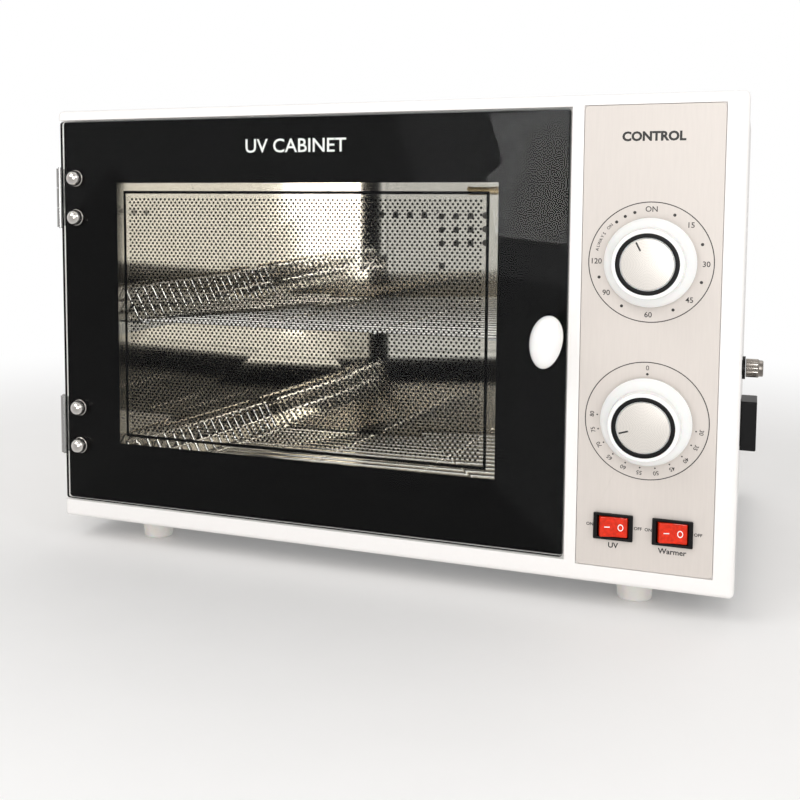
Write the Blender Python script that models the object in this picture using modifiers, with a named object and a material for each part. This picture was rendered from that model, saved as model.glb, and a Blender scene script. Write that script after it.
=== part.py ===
"""Ultraviolet sterilizer cabinet for a hair salon, built as separate pieces.

All lengths are in metres. In the cabinet's own drawing X = 0 is the middle of the body, Y = 0 is the
front face of the front frame, +Y runs to the back and Z = 0 is the surface the feet stand on.
The empty "cabinet" then moves that drawing so that the bounding box is centred on the origin.
"""

import math

import bmesh
import bpy
from mathutils import Matrix, Vector

MM = 0.001
GAP = 0.3 * MM

# Driving dimensions of the body
BODY_WIDTH = 422 * MM
BODY_HEIGHT = 270 * MM
BODY_DEPTH = 292 * MM
FOOT_HEIGHT = 16 * MM
LEFT = -BODY_WIDTH / 2
RIGHT = BODY_WIDTH / 2
BOTTOM = FOOT_HEIGHT
TOP = FOOT_HEIGHT + BODY_HEIGHT
SHEET = 1.2 * MM

# Front frame
FRAME_DEPTH = 20 * MM
FRAME_SKIN = 3 * MM
DOOR_REBATE_DEPTH = 7 * MM
DOOR_REBATE_RIGHT = 121.1 * MM
DOOR_REBATE_BOTTOM = BOTTOM + 11.4 * MM
DOOR_REBATE_TOP = TOP - 6.2 * MM
PANEL_LEFT, PANEL_RIGHT = 127.8 * MM, 199.8 * MM
PANEL_BOTTOM, PANEL_TOP = BOTTOM + 10.2 * MM, TOP - 6 * MM
PANEL_SHEET = 1.4 * MM

# Chamber liner, inside faces
CHAMBER_LEFT, CHAMBER_RIGHT = -180 * MM, 94 * MM
CHAMBER_BOTTOM, CHAMBER_TOP = BOTTOM + 29 * MM, TOP - 30.5 * MM
CHAMBER_BACK = 262 * MM
LINER_SHEET = 1 * MM
LINER_FLANGE = 10 * MM
LINER_FRONT = DOOR_REBATE_DEPTH + FRAME_SKIN + GAP

# Inside the chamber
LOWER_BASKET_Z, UPPER_BASKET_Z = CHAMBER_BOTTOM + 1.4 * MM, BOTTOM + 133 * MM
BASKET_HEIGHT, BASKET_LEAN, WIRE = 18.5 * MM, 10 * MM, 2 * MM
VENT_COLUMN, VENT_ROW = 11.5 * MM, 10.2 * MM
LAMP_X = (-148 * MM, 64 * MM)
LAMP_Y, LAMP_Z = 232 * MM, CHAMBER_TOP - 11.5 * MM
LAMP_RADIUS = 8 * MM
SENSOR_Y, SENSOR_Z = 120 * MM, CHAMBER_TOP - 24 * MM

# Door glass and its hinge axis
GLASS_LEFT, GLASS_RIGHT = -209.1 * MM, 120.1 * MM
GLASS_BOTTOM, GLASS_TOP = BOTTOM + 12.2 * MM, TOP - 7 * MM
GLASS_THICKNESS = 5 * MM
HINGE_X, HINGE_Y = -211.6 * MM, 2.5 * MM
KNUCKLE_RADIUS = 2.2 * MM
PIN_RADIUS = 1.1 * MM
HINGE_LENGTH = 38.4 * MM
HINGE_CENTRES = {"upper": BOTTOM + 213.5 * MM, "lower": BOTTOM + 62.1 * MM}
NUT_OFFSET = 12.7 * MM
NUT_X = -197.2 * MM
NUT_RADIUS = 5.3 * MM
STUD_RADIUS = 2.0 * MM

# Handle, catch and door switch
HANDLE_X, HANDLE_Z = 111.5 * MM, BOTTOM + 136 * MM
HANDLE_WIDTH, HANDLE_HEIGHT, HANDLE_REACH = 18 * MM, 30 * MM, 22 * MM
PLUNGER_X, PLUNGER_Z = 109 * MM, BOTTOM + 225.5 * MM

# Controls
DIAL_X = 163.7 * MM
TIMER_Z, THERMOSTAT_Z = BOTTOM + 180 * MM, BOTTOM + 93.6 * MM
KNOB_SKIRT_RADIUS, KNOB_RADIUS, KNOB_HEIGHT = 24 * MM, 18.5 * MM, 19 * MM
INSERT_RADIUS = 15.7 * MM
SHAFT_RADIUS = 3 * MM
ROCKER_Z = BOTTOM + 33.45 * MM
ROCKER_X = {"uv": 147.75 * MM, "warmer": 179.0 * MM}
ROCKER_BEZEL = (21.2 * MM, 14.8 * MM)
ROCKER_SWING = math.radians(20)
ROCKER_AXIS_Y = 1.0 * MM

# Right side fittings
SIDE_FITTING_Y = 150 * MM
FUSE_Z, INLET_Z = BOTTOM + 103.5 * MM, BOTTOM + 67.5 * MM
FUSE_CAP_RADIUS, FUSE_CAP_LENGTH = 6 * MM, 12 * MM
INLET_DEPTH, INLET_HEIGHT, INLET_PROUD = 27 * MM, 32 * MM, 9 * MM

FEET_INSET_X, FEET_INSET_FRONT, FEET_INSET_BACK = 54 * MM, 12 * MM, 24 * MM
FOOT_RADIUS = 10.8 * MM

# The model's bounding box in the drawing, used to centre it
EXTENT_X = (HINGE_X - KNUCKLE_RADIUS, RIGHT + FUSE_CAP_LENGTH)
EXTENT_Y = (-HANDLE_REACH, BODY_DEPTH)


def clear_scene():
    for obj in list(bpy.data.objects):
        bpy.data.objects.remove(obj)


def material(name, colour, roughness, metallic=0.0, alpha=1.0):
    mat = bpy.data.materials.new(name)
    mat.use_nodes = True
    shader = mat.node_tree.nodes["Principled BSDF"]
    shader.inputs["Base Color"].default_value = (*colour, 1.0)
    shader.inputs["Roughness"].default_value = roughness
    shader.inputs["Metallic"].default_value = metallic
    shader.inputs["Alpha"].default_value = alpha
    return mat


def new_collection(name):
    collection = bpy.data.collections.new(name)
    bpy.context.scene.collection.children.link(collection)
    return collection


def empty(name, at, parent=None):
    obj = bpy.data.objects.new(name, None)
    PARTS.objects.link(obj)
    obj.parent = parent
    obj.location = at
    return obj


def centred(bm, at):
    """Moves the mesh so that the drawing point `at` becomes its origin."""
    bmesh.ops.translate(bm, verts=bm.verts, vec=-Vector(at))


def finish_mesh(name, bm, mat=None, smooth=False):
    bmesh.ops.recalc_face_normals(bm, faces=bm.faces)
    mesh = bpy.data.meshes.new(name)
    bm.to_mesh(mesh)
    bm.free()
    if smooth:
        mesh.shade_smooth()
        mesh.set_sharp_from_angle(angle=math.radians(35))
    if mat:
        mesh.materials.append(mat)
    return mesh


def add_part(name, bm, mat, at, group=None, smooth=False):
    """Adds a piece drawn in drawing coordinates, with its origin at the drawing point `at`."""
    group = group or CABINET
    centred(bm, at)
    obj = bpy.data.objects.new(name, finish_mesh(name, bm, mat, smooth))
    PARTS.objects.link(obj)
    obj.parent = group
    obj.location = Vector(at) - GROUP_ORIGINS[group.name]
    return obj


def add_cutter(name, bm):
    obj = bpy.data.objects.new(name, finish_mesh(name, bm))
    CUTTERS.objects.link(obj)
    obj.parent = CABINET
    obj.hide_render = True
    obj.display_type = "WIRE"
    return obj


def cut(obj, *cutters, operation="DIFFERENCE"):
    for cutter in cutters:
        mod = obj.modifiers.new(cutter.name, "BOOLEAN")
        mod.operation = operation
        mod.object = cutter


def bevel(obj, width, segments=2, angle=40):
    mod = obj.modifiers.new("edges", "BEVEL")
    mod.width = width
    mod.segments = segments
    mod.limit_method = "ANGLE"
    mod.angle_limit = math.radians(angle)
    mod.use_clamp_overlap = True


def add_block(bm, low, high):
    """A box between two corners."""
    low, high = Vector(low), Vector(high)
    size = high - low
    place = Matrix.Translation((low + high) / 2) @ Matrix.Diagonal((*size, 1.0))
    return bmesh.ops.create_cube(bm, size=1.0, matrix=place)["verts"]


AXIS_TURN = {
    "X": Matrix.Rotation(math.radians(90), 4, "Y"),
    "Y": Matrix.Rotation(math.radians(-90), 4, "X"),
    "Z": Matrix.Identity(4),
}


def add_rod(bm, start, length, radius, axis, sides=20, end_radius=None):
    """A closed cylinder or cone that starts at `start` and runs along +axis."""
    turn = AXIS_TURN[axis]
    middle = Vector(start) + turn @ Vector((0, 0, length / 2))
    end_radius = radius if end_radius is None else end_radius
    bmesh.ops.create_cone(
        bm, cap_ends=True, segments=sides, radius1=radius, radius2=end_radius,
        depth=length, matrix=Matrix.Translation(middle) @ turn,
    )


def block_mesh(*boxes):
    bm = bmesh.new()
    for low, high in boxes:
        add_block(bm, low, high)
    return bm


def rod_mesh(start, length, radius, axis, sides=20, end_radius=None):
    bm = bmesh.new()
    add_rod(bm, start, length, radius, axis, sides, end_radius)
    return bm


def cut_blocks(name, *boxes):
    return add_cutter(name, block_mesh(*boxes))


def cut_rods(name, starts, length, radius, axis, sides=20):
    bm = bmesh.new()
    for start in starts:
        add_rod(bm, start, length, radius, axis, sides)
    return add_cutter(name, bm)


def turned(name, profile, mat, at, group=None, steps=20):
    """A piece turned about the Y axis through `at`.

    The profile lists (radius, reach) points; reach is measured from `at` towards the front (-Y).
    It runs from the piece's front to its back along the outer side.
    """
    bm = bmesh.new()
    verts = [bm.verts.new((radius, 0, reach)) for radius, reach in profile]
    for first, second in zip(verts, verts[1:]):
        bm.edges.new((first, second))
    mesh = bpy.data.meshes.new(name)
    bm.to_mesh(mesh)
    bm.free()
    mesh.materials.append(mat)
    obj = bpy.data.objects.new(name, mesh)
    PARTS.objects.link(obj)
    group = group or CABINET
    obj.parent = group
    obj.location = Vector(at) - GROUP_ORIGINS[group.name]
    obj.rotation_euler = (math.radians(90), 0, 0)
    mod = obj.modifiers.new("turn", "SCREW")
    mod.steps = mod.render_steps = steps
    mod.use_merge_vertices = True
    mod.merge_threshold = 0.00001
    mod.use_smooth_shade = True
    return obj


def outline_prism(points, low, high, axis="Z"):
    """A prism of an outline: drawn in XY and extruded along Z, or drawn in XZ and extruded along Y."""
    bm = bmesh.new()
    if axis == "Z":
        verts = [bm.verts.new((u, v, low)) for u, v in points]
        vec = (0, 0, high - low)
    else:
        verts = [bm.verts.new((u, low, v)) for u, v in points]
        vec = (0, high - low, 0)
    face = bm.faces.new(verts)
    made = bmesh.ops.extrude_face_region(bm, geom=[face])["geom"]
    moved = [item for item in made if isinstance(item, bmesh.types.BMVert)]
    bmesh.ops.translate(bm, verts=moved, vec=vec)
    return bm


# ---------------------------------------------------------------- casing


def make_front_frame():
    frame = add_part(
        "front_frame", block_mesh(((LEFT, 0, BOTTOM), (RIGHT, FRAME_DEPTH, TOP))),
        WHITE_PAINT, (0, 0, BOTTOM),
    )
    bevel(frame, 3 * MM, 3)
    over = 2 * MM
    back = FRAME_DEPTH + over
    ledge = 3.5 * MM
    cut(
        frame,
        cut_blocks("door_rebate", (
            (LEFT - over, -over, DOOR_REBATE_BOTTOM), (DOOR_REBATE_RIGHT, DOOR_REBATE_DEPTH, DOOR_REBATE_TOP))),
        cut_blocks("panel_rebate", (
            (PANEL_LEFT - GAP, -over, PANEL_BOTTOM - GAP),
            (PANEL_RIGHT + GAP, PANEL_SHEET + 2 * GAP, PANEL_TOP + GAP))),
        cut_blocks("frame_back_pocket", (
            (LEFT + 3 * MM, DOOR_REBATE_DEPTH + FRAME_SKIN, BOTTOM + 3 * MM),
            (RIGHT - 3 * MM, back, TOP - 3 * MM))),
        cut_blocks("chamber_mouth", (
            (CHAMBER_LEFT - 2 * MM, -over, CHAMBER_BOTTOM - 2 * MM),
            (CHAMBER_RIGHT + 2 * MM, back, CHAMBER_TOP + 2 * MM))),
        cut_blocks("controls_mouth", (
            (PANEL_LEFT + ledge, -over, PANEL_BOTTOM + ledge),
            (PANEL_RIGHT - ledge, back, PANEL_TOP - ledge))),
        cut_rods("plunger_bore", [(PLUNGER_X, over, PLUNGER_Z)], back, 3.4 * MM, "Y"),
        cut_blocks("catch_slot", (
            (103 * MM, over, HANDLE_Z - 11 * MM), (118 * MM, back, HANDLE_Z + 11 * MM))),
    )


def make_outer_cover():
    """Top and both sides bent from one sheet: an open profile that Solidify gives its thickness."""
    left, right = LEFT + 1.5 * MM, RIGHT - 1.0 * MM
    top, bottom = TOP - 1.5 * MM, BOTTOM + 1.5 * MM
    radius = 5 * MM
    outline = [(left, bottom)]
    for centre_x, start in ((left + radius, 180), (right - radius, 90)):
        for step in range(4):
            angle = math.radians(start - 30 * step)
            outline.append((centre_x + radius * math.cos(angle), top - radius + radius * math.sin(angle)))
    outline.append((right, bottom))
    bm = bmesh.new()
    front, back = FRAME_DEPTH + GAP, BODY_DEPTH - 2 * MM
    verts = [bm.verts.new((x, front, z)) for x, z in outline]
    edges = [bm.edges.new(pair) for pair in zip(verts, verts[1:])]
    moved = bmesh.ops.extrude_edge_only(bm, edges=edges)["geom"]
    bmesh.ops.translate(
        bm, verts=[v for v in moved if isinstance(v, bmesh.types.BMVert)], vec=(0, back - front, 0))
    cover = add_part("outer_cover", bm, WHITE_PAINT, (0, 0, BOTTOM))
    wall = cover.modifiers.new("sheet", "SOLIDIFY")
    wall.thickness = SHEET
    wall.offset = -1
    wall.use_even_offset = True
    slots = []
    for column in range(2):
        for row in range(7):
            y = (180 + 30 * column) * MM
            z = BOTTOM + (150 + 10 * row) * MM
            slots.append(((right - 4 * MM, y, z), (right + 2 * MM, y + 22 * MM, z + 3 * MM)))
            slots.append(((left - 2 * MM, y, z), (left + 4 * MM, y + 22 * MM, z + 3 * MM)))
    inside = right - 6 * MM
    cut(
        cover,
        cut_blocks("cover_vents", *slots),
        cut_rods("fuse_hole", [(inside, SIDE_FITTING_Y, FUSE_Z)], 12 * MM, 5.4 * MM, "X"),
        cut_blocks("inlet_hole", (
            (inside, SIDE_FITTING_Y - 10.4 * MM, INLET_Z - 13.4 * MM),
            (inside + 12 * MM, SIDE_FITTING_Y + 10.4 * MM, INLET_Z + 13.4 * MM))),
    )


def make_base_pan():
    """Folded tray that closes the underside, with low flanges inside the cover."""
    left, right = LEFT + 3.2 * MM, RIGHT - 2.7 * MM
    front, back = FRAME_DEPTH + GAP, BODY_DEPTH - 2.4 * MM
    bm = bmesh.new()
    add_block(bm, (left, front, BOTTOM + 1.5 * MM), (right, back, BOTTOM + 14 * MM))
    top = max(bm.faces, key=lambda face: face.calc_center_median().z)
    bmesh.ops.delete(bm, geom=[top], context="FACES_ONLY")
    pan = add_part("base_pan", bm, GALVANISED, (0, 0, BOTTOM))
    wall = pan.modifiers.new("sheet", "SOLIDIFY")
    wall.thickness = SHEET
    wall.offset = -1
    wall.use_even_offset = True
    holes = [(x, y, BOTTOM - 4 * MM) for x, y in foot_places()]
    vents = [
        ((x * MM, 60 * MM, BOTTOM - 4 * MM), ((x + 3) * MM, 110 * MM, BOTTOM + 6 * MM))
        for x in range(136, 196, 9)
    ]
    cut(
        pan,
        cut_rods("foot_screw_holes", holes, 10 * MM, 2.4 * MM, "Z", 12),
        cut_blocks("pan_vents", *vents),
    )


def make_rear_panel():
    front, back = BODY_DEPTH - 1.7 * MM, BODY_DEPTH
    panel = add_part("rear_panel", block_mesh((
        (LEFT + 1.5 * MM, front, BOTTOM + 1.5 * MM), (RIGHT - 1.5 * MM, back, TOP - 1.5 * MM))),
        WHITE_PAINT, (0, front, BOTTOM))
    slots = [
        (((column * 30 - 105) * MM, front - 4 * MM, BOTTOM + (205 + 9 * row) * MM),
         ((column * 30 - 83) * MM, back + 4 * MM, BOTTOM + (208 + 9 * row) * MM))
        for column in range(8) for row in range(3)
    ]
    cut(panel, cut_blocks("rear_vents", *slots))


def foot_places():
    left, right = LEFT + FEET_INSET_X, RIGHT - FEET_INSET_X
    front, back = FEET_INSET_FRONT + FRAME_DEPTH, BODY_DEPTH - FEET_INSET_BACK
    return [(left, front), (right, front), (left, back), (right, back)]


def make_feet():
    names = ("front_left", "front_right", "rear_left", "rear_right")
    height = BOTTOM + 1.5 * MM - GAP
    for name, (x, y) in zip(names, foot_places()):
        bm = rod_mesh((x, y, 0), height, FOOT_RADIUS - 1.2 * MM, "Z", 20, FOOT_RADIUS)
        foot = add_part(f"foot_{name}", bm, FOOT_PLASTIC, (x, y, 0), smooth=True)
        cut(foot, cut_rods(f"foot_recess_{name}", [(x, y, -2 * MM)], 6 * MM, 4.5 * MM, "Z", 16))
        cut(foot, cut_rods(f"foot_bore_{name}", [(x, y, 2 * MM)], 20 * MM, 2.3 * MM, "Z", 12))


# ---------------------------------------------------------------- chamber


def make_liner():
    """Five-sided stainless box with a flange round its mouth."""
    bm = bmesh.new()
    add_block(bm, (CHAMBER_LEFT, LINER_FRONT, CHAMBER_BOTTOM), (CHAMBER_RIGHT, CHAMBER_BACK, CHAMBER_TOP))
    mouth = min(bm.faces, key=lambda face: face.calc_center_median().y)
    rim = list(mouth.edges)
    bmesh.ops.delete(bm, geom=[mouth], context="FACES_ONLY")
    made = bmesh.ops.extrude_edge_only(bm, edges=rim)["geom"]
    middle_x = (CHAMBER_LEFT + CHAMBER_RIGHT) / 2
    middle_z = (CHAMBER_BOTTOM + CHAMBER_TOP) / 2
    for vert in made:
        if isinstance(vert, bmesh.types.BMVert):
            vert.co.x += math.copysign(LINER_FLANGE, vert.co.x - middle_x)
            vert.co.z += math.copysign(LINER_FLANGE, vert.co.z - middle_z)
    bmesh.ops.recalc_face_normals(bm, faces=bm.faces)
    back = max(bm.faces, key=lambda face: face.calc_center_median().y)
    if back.normal.y < 0:
        bmesh.ops.reverse_faces(bm, faces=bm.faces)
    centred(bm, (0, 0, BOTTOM))
    mesh = bpy.data.meshes.new("chamber_liner")
    bm.to_mesh(mesh)
    bm.free()
    mesh.materials.append(STAINLESS)
    liner = bpy.data.objects.new("chamber_liner", mesh)
    PARTS.objects.link(liner)
    liner.parent = CABINET
    liner.location = (0, 0, BOTTOM)
    wall = liner.modifiers.new("sheet", "SOLIDIFY")
    wall.thickness = LINER_SHEET
    wall.offset = 1
    wall.use_even_offset = True
    holes = [
        ((VENT_COLUMN * column - 79 * MM), CHAMBER_BACK - 5 * MM, CHAMBER_TOP - 45.6 * MM - VENT_ROW * row)
        for row, first in enumerate((0, 4, 4)) for column in range(first, 12)
    ]
    holes.append((VENT_COLUMN * 4 - 79 * MM, CHAMBER_BACK - 5 * MM, CHAMBER_TOP - 83 * MM))
    cut(
        liner,
        cut_rods("liner_vents", holes, 12 * MM, 2.6 * MM, "Y", 8),
        cut_rods("capillary_hole", [(CHAMBER_RIGHT - 5 * MM, SENSOR_Y, SENSOR_Z)], 12 * MM, 2.4 * MM, "X", 12),
        cut_rods("lamp_lead_hole", [(CHAMBER_RIGHT - 5 * MM, LAMP_Y, CHAMBER_TOP - 10 * MM)], 12 * MM, 3.0 * MM, "X", 12),
    )


def grid_rack(name, wire_places, path, mat, wire, strands):
    """A welded wire rack: wires side by side that all follow `path`, tied by strands along the row.

    wire_places are the Y positions of the wires, path is the wires' (x, z) run, and strands are the
    indices of the path's points that a tie wire follows. It starts as one grid of narrow and wide
    cells whose gaps are deleted, and Solidify gives the wires their thickness.
    """
    ys = []
    for place in wire_places:
        ys += [place - wire / 2, place + wire / 2]
    columns, is_tie = [], []
    for index, (x, z) in enumerate(path):
        if index in strands:
            before = Vector(path[max(index - 1, 0)])
            after = Vector(path[min(index + 1, len(path) - 1)])
            along = (after - before).normalized() * wire / 2
            columns += [(x - along.x, z - along.y), (x + along.x, z + along.y)]
            is_tie += [True, False]
        else:
            columns.append((x, z))
            is_tie.append(False)
    bm = bmesh.new()
    bmesh.ops.create_grid(bm, x_segments=len(columns) - 1, y_segments=len(ys) - 1, size=0.5)
    bm.verts.ensure_lookup_table()
    order = sorted(bm.verts, key=lambda v: (round(v.co.x, 5), round(v.co.y, 5)))
    places = {}
    for number, vert in enumerate(order):
        places[vert] = (number // len(ys), number % len(ys))
    gaps = []
    for face in bm.faces:
        column = min(places[v][0] for v in face.verts)
        row = min(places[v][1] for v in face.verts)
        if row % 2 == 1 and not is_tie[column]:
            gaps.append(face)
    for vert, (column, row) in places.items():
        vert.co = (columns[column][0], ys[row], columns[column][1])
    bmesh.ops.delete(bm, geom=gaps, context="FACES")
    rack = add_part(name, bm, mat, (0, 0, path[0][1]))
    thick = rack.modifiers.new("wire", "SOLIDIFY")
    thick.thickness = wire
    thick.offset = 0
    thick.use_even_offset = True


def even(low, high, count):
    return [low + (high - low) * index / (count - 1) for index in range(count)]


def make_baskets():
    """Two shallow wire baskets: wires across the chamber, bent up at both sides, tied front to back."""
    side = 8 * MM
    left, right = CHAMBER_LEFT + side, CHAMBER_RIGHT - side
    wires = even(LINER_FRONT + 12 * MM, CHAMBER_BACK - 12 * MM, 19)
    third = (right - left - 2 * BASKET_LEAN) / 3
    for name, floor in (("lower_wire_basket", LOWER_BASKET_Z), ("upper_wire_basket", UPPER_BASKET_Z)):
        rim = floor + BASKET_HEIGHT
        path = [
            (left, rim), (left + BASKET_LEAN, floor), (left + BASKET_LEAN + third, floor),
            (right - BASKET_LEAN - third, floor), (right - BASKET_LEAN, floor), (right, rim),
        ]
        grid_rack(name, wires, path, CHROME, wire=WIRE, strands=range(len(path)))


def make_basket_rails():
    """An angle rail on each side wall that carries the upper basket."""
    for name, wall, inward in (("left", CHAMBER_LEFT, 1), ("right", CHAMBER_RIGHT, -1)):
        top = UPPER_BASKET_Z - WIRE / 2 - GAP
        near, far = wall + inward * GAP, wall + inward * 24 * MM
        bm = outline_prism(
            [(near, top - 10 * MM), (near + inward * 1.2 * MM, top - 10 * MM),
             (near + inward * 1.2 * MM, top - 1.2 * MM), (far, top - 1.2 * MM), (far, top), (near, top)],
            LINER_FRONT + 14 * MM, CHAMBER_BACK - 12 * MM, "Y")
        add_part(f"basket_rail_{name}", bm, STAINLESS, (wall, 0, top))


def make_lamp():
    """A straight germicidal tube under a folded reflector, held by a socket at each end."""
    tube = rod_mesh((LAMP_X[0], LAMP_Y, LAMP_Z), LAMP_X[1] - LAMP_X[0], LAMP_RADIUS, "X", 24)
    add_part("uv_lamp_tube", tube, QUARTZ, (LAMP_X[0], LAMP_Y, LAMP_Z), smooth=True)
    for name, outer, direction in (("left", LAMP_X[0], -1), ("right", LAMP_X[1], 1)):
        near = outer + direction * GAP
        far = outer + direction * 14 * MM
        low_x, high_x = min(near, far), max(near, far)
        add_part(f"lamp_socket_{name}", block_mesh((
            (low_x, LAMP_Y - 9 * MM, LAMP_Z - 10 * MM),
            (high_x, LAMP_Y + 9 * MM, CHAMBER_TOP - 1.2 * MM - 2 * GAP))),
            SOCKET_PLASTIC, (outer, LAMP_Y, LAMP_Z))
    left, right = LAMP_X[0] - 18 * MM, LAMP_X[1] + 18 * MM
    top = CHAMBER_TOP - GAP
    sheet = 0.9 * MM
    outline = [
        (LAMP_Y - 22 * MM, top - 12 * MM), (LAMP_Y - 14 * MM, top), (LAMP_Y + 14 * MM, top),
        (LAMP_Y + 22 * MM, top - 12 * MM), (LAMP_Y + 22 * MM - 1.1 * sheet, top - 12 * MM),
        (LAMP_Y + 14 * MM - 0.5 * sheet, top - sheet), (LAMP_Y - 14 * MM + 0.5 * sheet, top - sheet),
        (LAMP_Y - 22 * MM + 1.1 * sheet, top - 12 * MM),
    ]
    bm = bmesh.new()
    verts = [bm.verts.new((left, y, z)) for y, z in outline]
    face = bm.faces.new(verts)
    made = bmesh.ops.extrude_face_region(bm, geom=[face])["geom"]
    bmesh.ops.translate(
        bm, verts=[v for v in made if isinstance(v, bmesh.types.BMVert)], vec=(right - left, 0, 0))
    add_part("lamp_reflector", bm, STAINLESS, (0, LAMP_Y, top))


def make_heater():
    low = CHAMBER_BOTTOM - LINER_SHEET - 4 * MM
    bm = block_mesh(((-150 * MM, 60 * MM, low), (64 * MM, 210 * MM, low + 3.5 * MM)))
    add_part("heater_plate", bm, MICA, (0, 0, low))


# ---------------------------------------------------------------- door


def union(name, pieces, mat, at, group=None):
    """Joins overlapping blocks and rods into one body with Boolean unions."""
    first, *others = pieces
    obj = add_part(name, first, mat, at, group)
    for number, piece in enumerate(others):
        cut(obj, add_cutter(f"{name}_join_{number}", piece), operation="UNION")
    return obj


def make_hinges():
    third = HINGE_LENGTH / 3
    leaf = 1.2 * MM
    for name, centre in HINGE_CENTRES.items():
        low, high = centre - HINGE_LENGTH / 2, centre + HINGE_LENGTH / 2
        mid_low, mid_high = centre - third / 2, centre + third / 2
        behind = GLASS_THICKNESS + GAP
        nut_places = [(NUT_X, 0, centre - NUT_OFFSET), (NUT_X, 0, centre + NUT_OFFSET)]
        # Leaf that rides with the glass: a plate behind it, two end knuckles and their webs
        step = 0.25 * MM
        door_leaf = [block_mesh((
            (HINGE_X + 1.1 * MM, behind, low + 2 * step), (-189 * MM, behind + leaf, high - 2 * step)))]
        for z_low, z_high in ((low, mid_low - GAP), (mid_high + GAP, high)):
            door_leaf.append(block_mesh((
                (HINGE_X + 0.7 * MM, HINGE_Y, z_low + step),
                (HINGE_X + 1.9 * MM, behind + leaf / 2, z_high - step))))
            door_leaf.append(rod_mesh((HINGE_X, HINGE_Y, z_low), z_high - z_low, KNUCKLE_RADIUS, "Z", 20))
        obj = union(f"{name}_door_hinge_leaf", door_leaf, STAINLESS, (HINGE_X, HINGE_Y, centre), DOOR)
        pin_bore = cut_rods(
            f"{name}_pin_bore", [(HINGE_X, HINGE_Y, low - 5 * MM)], HINGE_LENGTH + 10 * MM,
            PIN_RADIUS + GAP, "Z", 16)
        stud_bores = cut_rods(
            f"{name}_stud_bores", [(x, -5 * MM, z) for x, y, z in nut_places], 20 * MM,
            STUD_RADIUS + GAP, "Y", 12)
        cut(obj, pin_bore, stud_bores)
        cut(GLASS, stud_bores)
        # Leaf fixed to the frame's side: a plate outside the frame and the middle knuckle
        outside = LEFT - GAP
        frame_leaf = [
            block_mesh(((outside - leaf, DOOR_REBATE_DEPTH + 1 * MM, low), (outside, 19 * MM, high))),
            block_mesh((
                (outside - leaf + step / 2, HINGE_Y, mid_low + step),
                (outside - step / 2, DOOR_REBATE_DEPTH + 4 * MM, mid_high - step))),
            rod_mesh((HINGE_X, HINGE_Y, mid_low), mid_high - mid_low, KNUCKLE_RADIUS, "Z", 20),
        ]
        obj = union(f"{name}_frame_hinge_leaf", frame_leaf, STAINLESS, (HINGE_X, HINGE_Y, centre))
        cut(obj, pin_bore)
        pin = rod_mesh((HINGE_X, HINGE_Y, low - 0.8 * MM), HINGE_LENGTH + 1.6 * MM, PIN_RADIUS, "Z", 16)
        add_part(f"{name}_hinge_pin", pin, STAINLESS, (HINGE_X, HINGE_Y, centre), smooth=True)
        for place, (x, _, z) in zip(("bottom", "top"), nut_places):
            dome = [(0, 7.6 * MM)]
            for step in range(1, 5):
                angle = math.radians(90 - 22.5 * step)
                dome.append((NUT_RADIUS * 0.92 * math.cos(angle), 2.9 * MM + 4.7 * MM * math.sin(angle)))
            dome += [
                (NUT_RADIUS, 2.7 * MM), (NUT_RADIUS, GAP), (STUD_RADIUS, GAP),
                (STUD_RADIUS, -(behind + leaf + GAP)), (0, -(behind + leaf + GAP)),
            ]
            turned(f"{name}_hinge_nut_{place}", dome, CHROME, (x, 0, z), DOOR)


def make_glass():
    bm = block_mesh(((GLASS_LEFT, 0, GLASS_BOTTOM), (GLASS_RIGHT, GLASS_THICKNESS, GLASS_TOP)))
    upright = [
        edge for edge in bm.edges
        if abs(edge.verts[0].co.y - edge.verts[1].co.y) > GLASS_THICKNESS / 2
    ]
    bmesh.ops.bevel(
        bm, geom=upright, offset=2 * MM, segments=3, profile=0.5, affect="EDGES", material=-1)
    return add_part("door_glass", bm, BLACK_GLASS, (HINGE_X, HINGE_Y, GLASS_BOTTOM), DOOR)


def make_handle():
    """Egg-shaped pull on a short neck, its screw and the strike plate that the screw holds."""
    neck_length = 9 * MM
    bm = bmesh.new()
    bmesh.ops.create_uvsphere(bm, u_segments=24, v_segments=14, radius=1.0)
    reach = (HANDLE_REACH - neck_length + 2 * MM) / 2
    egg = Matrix.Translation((HANDLE_X, -HANDLE_REACH + reach, HANDLE_Z)) @ Matrix.Diagonal(
        (HANDLE_WIDTH / 2, reach, HANDLE_HEIGHT / 2, 1.0))
    bmesh.ops.transform(bm, matrix=egg, verts=bm.verts)
    neck = rod_mesh(
        (HANDLE_X, -neck_length - 2 * MM, HANDLE_Z), neck_length + 2 * MM - GAP, 5 * MM, "Y", 20, 6.5 * MM)
    handle = union("door_handle", [bm, neck], WHITE_PLASTIC, (HANDLE_X, 0, HANDLE_Z), DOOR)
    bore_start = -8 * MM
    bore = cut_rods("handle_bore", [(HANDLE_X, bore_start, HANDLE_Z)], 20 * MM, 2 * MM + GAP, "Y", 12)
    cut(handle, bore)
    cut(GLASS, bore)
    rear = GLASS_THICKNESS + GAP
    plate = add_part("strike_plate", block_mesh((
        (HANDLE_X - 7 * MM, rear, HANDLE_Z - 9 * MM), (HANDLE_X + 6 * MM, rear + 1.2 * MM, HANDLE_Z + 9 * MM))),
        GALVANISED, (HANDLE_X, rear, HANDLE_Z), DOOR)
    cut(plate, bore)
    head = rear + 1.2 * MM + GAP
    screw = [(0, -bore_start - 1 * MM), (2 * MM, -bore_start - 1 * MM), (2 * MM, -head),
             (3.6 * MM, -head), (3.2 * MM, -head - 1.9 * MM), (0, -head - 1.9 * MM)]
    turned("handle_screw", screw, STAINLESS, (HANDLE_X, 0, HANDLE_Z), DOOR)


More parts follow.
